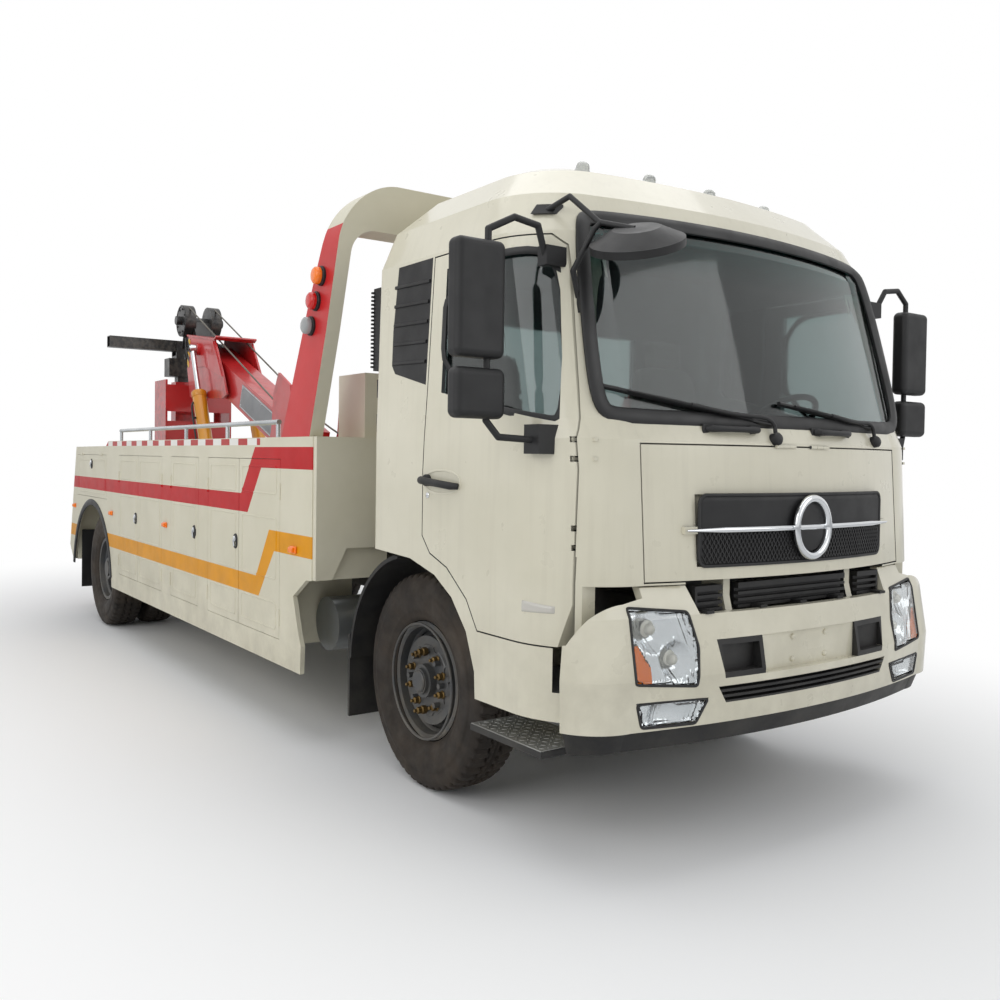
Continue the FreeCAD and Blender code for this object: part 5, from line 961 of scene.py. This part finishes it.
# round lamps on the arch: amber, red and clear; and the lenses of the tail lamps
for hand, s in HANDS:
    for x, z, mat, tag in ((-0.640, 2.470, "amber", "amber"), (-0.700, 2.350, "red_lens", "red"),
                           (-0.760, 2.230, "clear_cap", "clear")):
        base = P(x, s * 1.2455, z)
        g = Geo()
        g.lathe([(0.0, 0.050), (0.010, 0.050), (0.014, 0.046), (0.018, 0.046), (0.020, 0.043)], base, (0, s, 0), 40)
        g.make("arch_lamp_base_%s_%s" % (tag, hand), "black_plastic", "root", angle=30)
        g = Geo()
        g.lathe([(0.012, 0.044), (0.030, 0.0445), (0.040, 0.042), (0.047, 0.034), (0.049, 0.020), (0.0495, 0.0)],
                base, (0, s, 0), 40)
        g.make("arch_lamp_lens_%s_%s" % (tag, hand), mat, "root", angle=40)
    for low, high, mat, tag in ((0.655, 0.745, "clear_cap", "clear"), (0.750, 0.840, "red_lens", "red"),
                                (0.845, 0.935, "amber", "amber")):
        x0, x1 = [FX - 6.45 + (z - 0.642) * 0.170 / 0.643 for z in (low, high)]
        g = Geo()
        g.prism([(x0 - 0.036, low + 0.004), (x0 - 0.004, low + 0.004), (x1 - 0.004, high - 0.004),
                 (x1 - 0.036, high - 0.004)], "y", *sorted((s * 1.012, s * 1.188)))
        g.make("tail_lens_%s_%s" % (tag, hand), mat, "root", bevel=0.004)
# the plain lamp blocks of the frame are stood for by the reflectors, glasses and lenses
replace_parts(bpy.data.objects["lamp_reflectors_right"], "lamps")

# ---- roof lamps, mirror faces, side repeaters
roof_tree = surface_of("cab_roof")
for i, y in enumerate((-0.60, -0.20, 0.20, 0.60)):
    hit, nor = roof_tree.ray_cast(P(0.62, y, 4), Vector((0, 0, -1)))[:2]
    if hit is None:
        continue
    g = Geo()
    g.lathe([(-0.03, 0.034), (0.002, 0.034), (0.005, 0.031), (0.017, 0.030), (0.030, 0.025), (0.037, 0.014),
             (0.039, 0.0)], hit, nor if nor.z > 0 else -nor, 28)
    g.make("roof_lamp_%d" % i, "clear_cap", "cab", angle=50)

# mirror faces look rearward: rows of rays from behind find the flat of each housing
MIRROR_RIM = 0.014
for hand, s in HANDS:
    mirror_tree = surface_of("mirrors_" + hand)
    lo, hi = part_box("mirrors_" + hand)
    groups = []
    for z in [lo.z + (hi.z - lo.z) * k / 60 for k in range(61)]:
        row = []
        for y in [lo.y + (hi.y - lo.y) * j / 39 for j in range(40)]:
            hit, nor = mirror_tree.ray_cast(Vector((FX + 0.2, y, z)), Vector(AHEAD))[:2]
            if hit is not None and nor.x < -0.9:
                row.append((y, hit.x))
        if len(row) < 5:
            continue
        if groups and z - groups[-1][-1][0] < 0.03:
            groups[-1].append((z, row))
        else:
            groups.append([(z, row)])
    g = Geo()
    for group in groups:
        z0, z1 = group[0][0], group[-1][0]
        if z1 - z0 < 0.08:
            continue
        row = group[len(group) // 2][1]
        y0, y1 = min(y for y, x in row) + MIRROR_RIM, max(y for y, x in row) - MIRROR_RIM
        x = sorted(x for y, x in row)[len(row) // 2]
        z0, z1 = z0 + MIRROR_RIM, z1 - MIRROR_RIM
        g.prism([(p.x, p.y) for p in rounded([(y0, z0), (y1, z0), (y1, z1), (y0, z1)], 0.05)],
                "x", x - 0.003, x + 0.002)
    if g.v:
        g.make("mirror_glass_" + hand, "mirror_face", "door_" + hand, bevel=0.001)

# side repeater lamps at the doors' lower front corners
REPEATER = 0.145
COLS, ROWS = 20, 8
for hand, s in HANDS:
    door_tree = surface_of("door_" + hand, "door_glass_" + hand)
    verts, faces = [], []
    for i in range(COLS + 1):
        u = i / COLS
        x = 0.950 + REPEATER * u
        low, high = 0.978 + 0.006 * u, 1.026 - 0.012 * u
        for j in range(ROWS + 1):
            v = j / ROWS
            z = low + (high - low) * v
            hit = on_side(door_tree, x, z, s)[0]
            rim = min(min(u, 1 - u) * REPEATER, min(v, 1 - v) * (high - low))
            lift = 0.008 * min(1.0, (max(0.0, rim) / 0.010) ** 0.5)
            if hit is None:
                hit = verts[-1].copy() if verts else P(x, s * 1.15, z)
                lift = 0.0
            verts.append(hit + Vector((0.25, s, 0)).normalized() * (lift - 0.003 * (lift == 0)))
    for i in range(COLS):
        for j in range(ROWS):
            k = i * (ROWS + 1) + j
            faces.append((k, k + ROWS + 1, k + ROWS + 2, k + 1))
    back = [p - Vector((0, s * 0.006, 0)) for p in verts]
    edge = ([i * (ROWS + 1) for i in range(COLS + 1)] + [COLS * (ROWS + 1) + j for j in range(1, ROWS + 1)]
            + [i * (ROWS + 1) + ROWS for i in range(COLS - 1, -1, -1)] + [j for j in range(ROWS - 1, 0, -1)])
    total = len(verts)
    g = Geo()
    g.add(verts + back, faces + [tuple(total + k for k in reversed(f)) for f in faces]
          + [(a, total + a, total + b, b) for a, b in sides_of(edge)])
    g.make("side_repeater_" + hand, "lamp_cover", "door_" + hand, angle=40)

# ---- body sides
LOCKER_LOW, LOCKER_HIGH = 0.540, 1.540
DOORS = (("arch_flap", -6.130, -5.000), ("locker_a", -4.580, -4.000), ("locker_b", -4.000, -3.360),
         ("locker_c", -3.140, -2.530), ("locker_d", -2.340, -1.780), ("locker_e", -1.780, -1.150))
SIDE_Y = 1.245
PRESSING_INSET = 0.055
ARCH_X, ARCH_Z, ARCH_R = -5.55, 0.38, 0.722
for hand, s in HANDS:
    aside = (0, s, 0)
    for name, x0, x1 in DOORS:
        g = Geo()
        for za, zb in (((1.195, 1.49),) if name == "arch_flap" else
                       ((LOCKER_LOW + 0.05, 0.735), (0.870, 1.205), (1.345, LOCKER_HIGH - 0.045))):
            xa, xb = x0 + PRESSING_INSET, x1 - PRESSING_INSET
            rect = [(xa, za), (xb, za), (xb, zb), (xa, zb)]
            g.bead([P(p.x, s * SIDE_Y, p.y) for p in rounded(rect, 0.04, 1)], aside, 0.012, 0.0028)
        g.make("%s_pressing_%s" % (name, hand), "livery", "%s_%s" % (name, hand), angle=60)
    for body, x, z in (("arch_flap_", -5.55, 1.455), ("locker_a_", -4.06, 1.039), ("locker_c_", -2.61, 1.034),
                       ("locker_d_", -1.83, 1.034)):
        g = Geo()
        oval = [P(x + 0.025 * c, s * 1.2455, z + 0.025 * q + math.copysign(0.014, q))
                for c, q in circle(32, math.pi / 32)]
        g.bead(oval, aside, 0.014, 0.006)
        g.add([p + Vector((0, s * 0.001, 0)) for p in oval], [tuple(range(32))])
        g.make("latch_frame_%s%s" % (body, hand), "rubber_seal", body + hand)
        g = Geo()
        g.lathe([(0.0, 0.017), (0.008, 0.017), (0.010, 0.013), (0.010, 0.0)], P(x, s * 1.246, z + 0.012), aside, 24)
        g.tube([P(x, s * 1.252, z + 0.030), P(x, s * 1.259, z + 0.005), P(x, s * 1.256, z - 0.032)],
               [0.008, 0.007, 0.006], 10)
        g.make("latch_handle_%s%s" % (body, hand), "chrome", body + hand, angle=50)
    for x, z in ((-6.23, 1.04), (-4.82, 1.04), (-3.26, 1.04), (-0.957, 1.055)):
        g = Geo()
        for out, half_x, half_z in ((0.012, 0.040, 0.020), (0.026, 0.028, 0.015)):
            y0, y1 = sorted((s * SIDE_Y, s * (SIDE_Y + out)))
            g.box(P(x - half_x, y0, z - half_z), P(x + half_x, y1, z + half_z))
        g.make("marker_lamp_%d_%s" % (int(-x * 100), hand), "amber", "root", bevel=0.006, segs=3)
    # black lip round the wheel arch
    arc = [math.radians(8 + 164 * k / 48) for k in range(49)]
    g = Geo()
    g.bead([P(ARCH_X + ARCH_R * math.cos(a), s * 1.244, ARCH_Z + ARCH_R * math.sin(a)) for a in arc], aside,
           0.055, 0.010, closed=False)
    g.make("arch_lip_" + hand, "rubber_seal", "root")
    # rubber flap behind each twin
    g = Geo()
    g.prism([(FX - 6.205, 0.24), (FX - 6.199, 0.24), (FX - 6.192, 0.80), (FX - 6.198, 0.80)], "y",
            *sorted((s * 0.66, s * 1.19)))
    g.make("rear_mud_flap_" + hand, "rubber_seal", "root", bevel=0.002)

# ---- recovery gear
FOOT = P(-3.400, 0, 1.590)
SLOPE = math.radians(21)
SHEAVE_U, SHEAVE_W, SHEAVE_WRAP = -3.24, 0.215, 0.157
PLATE_Y, PIN_Y, ROPE_Y = 0.1425, 0.312, 0.135
BARREL_FOOT, ROD_HEAD = (-4.970, 0.950), (-5.720, 2.600)
DRUM = (-2.840, 1.460)
ROPE, STRAND = 0.0075, 0.0078


def B(u, y, w):
    """Point given in the boom's own frame: u forward along it, w square to it."""
    return FOOT + Vector((u * math.cos(SLOPE) + w * math.sin(SLOPE), y, -u * math.sin(SLOPE) + w * math.cos(SLOPE)))


for hand, s in HANDS:
    aside = (0, s, 0)
    y = s * ROPE_Y
    wrap = [B(SHEAVE_U - SHEAVE_WRAP * math.sin(a), y, SHEAVE_W + SHEAVE_WRAP * math.cos(a))
            for a in [math.radians(200 - 200 * k / 16) for k in range(17)]]
    g = Geo()
    g.tube(wrap + dense([B(-3.20, y, 0.371), B(-0.31, y, 0.185)], 0.06), ROPE, 8)
    rope = g.make("winch_rope_" + hand, "rope_steel", None, angle=60)
    tuple(B(-3.10, y, 0.365))
    tuple(B(-0.40, y, 0.19))
    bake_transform(rope)
    winch = P(DRUM[0], s * 0.175, 1.560)
    lead = [B(-0.33, y, 0.185), B(-0.20, y, 0.17), winch + Vector((-0.10, 0, 0.06)), winch]
    g = Geo()
    g.tube(dense(smooth_path(lead, 2), 0.04), ROPE, 8)
    rope = g.make("winch_lead_" + hand, "rope_steel", None, angle=60)
    tuple(B(-0.33, y, 0.185))
    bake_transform(rope)
    g = Geo()
    g.tube([P(DRUM[0] + 0.103 * c, s * (0.070 + 0.0152 * (turn + k / 20)), DRUM[1] + 0.103 * q)
            for turn in range(15) for k, (c, q) in enumerate(circle(20))], STRAND, 6)
    g.make("winch_turns_" + hand, "rope_steel", "root", angle=60)
    # swaged eye and hook hanging behind the sheaves
    end = wrap[0]
    g = Geo()
    g.lathe([(0, 0.010), (0.01, 0.014), (0.085, 0.014), (0.095, 0.009)], end, (0.0, 0, -1), 16)
    hook = [end + Vector((x, 0, z)) for x, z in ((0, -0.09), (0, -0.13), (0.028, -0.17), (0.030, -0.215),
                                                 (0, -0.245), (-0.036, -0.225), (-0.040, -0.190))]
    g.tube(smooth_path(hook, 2), 0.011, 10)
    g.make("rope_hook_" + hand, "gear_black", "boom_tip", angle=60)
    # ring of bolts on the outer face of each sheave housing
    cheek = s * (ROPE_Y + 0.055)
    g = Geo()
    for c, q in circle(8):
        g.lathe([(-0.002, 0.011), (0.008, 0.011), (0.010, 0.008), (0.010, 0.0)],
                B(SHEAVE_U + 0.125 * c, cheek, SHEAVE_W + 0.125 * q), aside, 6)
    g.tube([B(SHEAVE_U + 0.150 * c, cheek, SHEAVE_W + 0.150 * q) for c, q in circle(48)], 0.006, 6, closed=True)
    g.make("sheave_bolts_" + hand, "gear_black", "boom_tip", bevel=0.001)
    # hazard strips down the rear edges of the mast and of the boom head
    y0, y1 = sorted((s * 0.292, s * 0.3495))
    g = Geo()
    g.box(P(-6.7225, y0, 0.66), P(-6.7195, y1, 2.30))
    g.make("mast_hazard_" + hand, "hazard", "root")
    a, b, w = P(-6.076, 0, 2.735), P(-6.116, 0, 2.45), Vector((0.055, 0, -0.006))
    g = Geo()
    g.prism([(p.x, p.z) for p in (a, b, b + w, a + w)], "y", *sorted((s * 0.1945, s * 0.1975)))
    g.make("head_hazard_" + hand, "hazard", "boom")
    # blank plate with a raised border on the boom's side
    g = Geo()
    g.prism([(p.x, p.z) for p in (B(-1.42, 0, -0.108), B(-0.42, 0, -0.108), B(-0.42, 0, 0.108),
                                  B(-1.42, 0, 0.108))], "y", *sorted((s * 0.1395, s * PLATE_Y)))
    g.make("boom_plate_" + hand, "plate_grey", "boom", bevel=0.001)
    g = Geo()
    g.bead(dense([B(u, s * PLATE_Y, w) for u, w in ((-1.41, -0.098), (-0.43, -0.098), (-0.43, 0.098),
                                                    (-1.41, 0.098))], 0.05, True), aside, 0.009, 0.002)
    for u in (-1.39, -0.92, -0.45):
        for w in (-0.082, 0.082):
            g.lathe([(0, 0.008), (0.003, 0.007), (0.0045, 0.0)], B(u, s * PLATE_Y, w), aside, 14)
    g.make("boom_plate_border_" + hand, "bright_steel", "boom")
    # cap on the boom's foot pin
    g = Geo()
    g.lathe([(-0.004, 0.052), (0.010, 0.052), (0.014, 0.046), (0.014, 0.0)], FOOT + Vector((0, s * PIN_Y, 0)),
            aside, 28)
    for c, q in circle(4, math.pi / 4):
        g.lathe([(0.010, 0.008), (0.019, 0.008), (0.020, 0.0)],
                FOOT + Vector((0.034 * c, s * PIN_Y, 0.034 * q)), aside, 6)
    g.make("foot_pin_cap_" + hand, "gear_black", "root", bevel=0.001)
    # gland nut on each lift cylinder, and its hose
    base = P(BARREL_FOOT[0], s * 0.270, BARREL_FOOT[1])
    axis = (P(ROD_HEAD[0], 0, ROD_HEAD[1]) - P(BARREL_FOOT[0], 0, BARREL_FOOT[1])).normalized()
    g = Geo()
    g.lathe([(-0.055, 0.0685), (-0.050, 0.071), (-0.004, 0.071), (0.004, 0.066), (0.006, 0.040), (0.010, 0.034),
             (0.012, 0.0255)], base + axis * 1.330, axis, 40)
    g.make("gland_nut_" + hand, "cylinder_yellow", "lift_barrels", angle=30)
    g = Geo()
    g.tube(smooth_path([base + axis * far + Vector(aside) * out for far, out in (
        (0.16, 0.072), (0.16, 0.098), (0.24, 0.104), (0.80, 0.090), (1.16, 0.094), (1.22, 0.068))], 2), 0.0095, 10)
    for far in (0.35, 0.75, 1.05):
        g.box((-0.020, -0.012, -0.010), (0.020, 0.012, 0.010),
              Matrix.Translation(base + axis * far + Vector(aside) * 0.078))
    g.make("cylinder_hose_" + hand, "rubber_seal", "lift_barrels", bevel=0.002)

# tread plates on the cab steps
TREAD_Z = 0.4835
for hand, s in HANDS:
    y0, y1 = sorted((s * 0.894, s * 1.161))
    g = Geo()
    g.box(P(0.645, y0, 0.4795), P(1.105, y1, TREAD_Z))
    for i in range(14):
        for j in range(8):
            turn = math.radians(45 if (i + j) % 2 else -45)
            m = Matrix.Translation(P(0.672 + i * 0.0314, y0 + 0.022 + j * 0.0318, TREAD_Z))
            g.box((-0.010, -0.0028, -0.001), (0.010, 0.0028, 0.0022), m @ Matrix.Rotation(turn, 4, "Z"))
    g.tube([P(0.645, s * 1.1615, 0.4815), P(1.105, s * 1.1615, 0.4815)], 0.003, 6)
    g.make("step_tread_" + hand, "step_grey", "root", bevel=0.0008, segs=1)


# ---- seats
def groove(value, lines, width):
    """Depth, from 0 to 1 or a little more, of soft stitched lines."""
    return sum(math.exp(-((value - line) / width) ** 2) for line in lines)


def pad(name, size, place):
    """Stuffed pad: rounded block whose faces swell and whose sides draw in between the corners."""
    roundness, tuck = 6.0, 0.02
    bm = bmesh.new()
    bmesh.ops.create_cube(bm, size=2)
    bmesh.ops.subdivide_edges(bm, edges=bm.edges, cuts=14, use_grid_fill=True)
    for v in bm.verts:
        x, y, z = v.co
        k = (abs(x) ** roundness + abs(y) ** roundness + abs(z) ** roundness) ** (1 / roundness)
        x, y, z = x / k, y / k, z / k
        swell = (1 - x * x) * (1 - y * y)
        draw = 1 - tuck * (1 - abs(z)) * ((1 - abs(y)) + (1 - abs(x))) * 1.2
        stitch = 0.0
        if z > 0.3:
            stitch = 0.10 * groove(y, (-0.55, 0.55), 0.045)
            if abs(y) < 0.55:
                stitch += 0.06 * groove(x, (-0.34, 0.0, 0.34), 0.04)
        z = z * (0.80 + 0.20 * swell) - stitch
        v.co = Vector((x * size[0] / 2 * draw, y * size[1] / 2 * draw, z * size[2] / 2))
        v.co += v.normal * 0.0012 * noise.noise(v.co * 30)
    me = bpy.data.meshes.new(name)
    bm.to_mesh(me)
    bm.free()
    me.transform(place)
    ob = link_mesh(name, me, "seat_cloth")
    sub = ob.modifiers.new("smooth", "SUBSURF")
    sub.levels = 1
    sub.render_levels = 1
    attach(ob, "cab")


SEAT_Y = 0.64
for hand, s in HANDS:
    y = s * SEAT_Y
    for name, size, x, z, tilt in (("seat_cushion_", (0.50, 0.475, 0.135), 0.230, 1.493, 0),
                                   ("seat_back_", (0.600, 0.455, 0.100), -0.075, 1.790, 82),
                                   ("head_rest_", (0.150, 0.250, 0.075), -0.116, 2.160, 88)):
        pad(name + hand, size, Matrix.Translation(P(x, y, z)) @ Matrix.Rotation(math.radians(tilt), 4, "Y"))
    g = Geo()
    y0, y1 = y - 0.19, y + 0.19
    g.box(P(-0.02, y0, 1.2003), P(0.40, y1, 1.24))
    g.box(P(0.02, y0 + 0.03, 1.24), P(0.36, y1 - 0.03, 1.43))
    for k in range(5):
        g.box(P(0.015, y0 + 0.02, 1.262 + k * 0.033), P(0.368, y1 - 0.02, 1.276 + k * 0.033))
    for t in (-0.06, 0.06):
        g.tube([P(-0.112, y + t, 2.06), P(-0.116, y + t, 2.13)], 0.007, 8)
    g.make("seat_base_" + hand, "dark_trim", "cab", bevel=0.004)
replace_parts(bpy.data.objects["seat_base_right"], "seats")
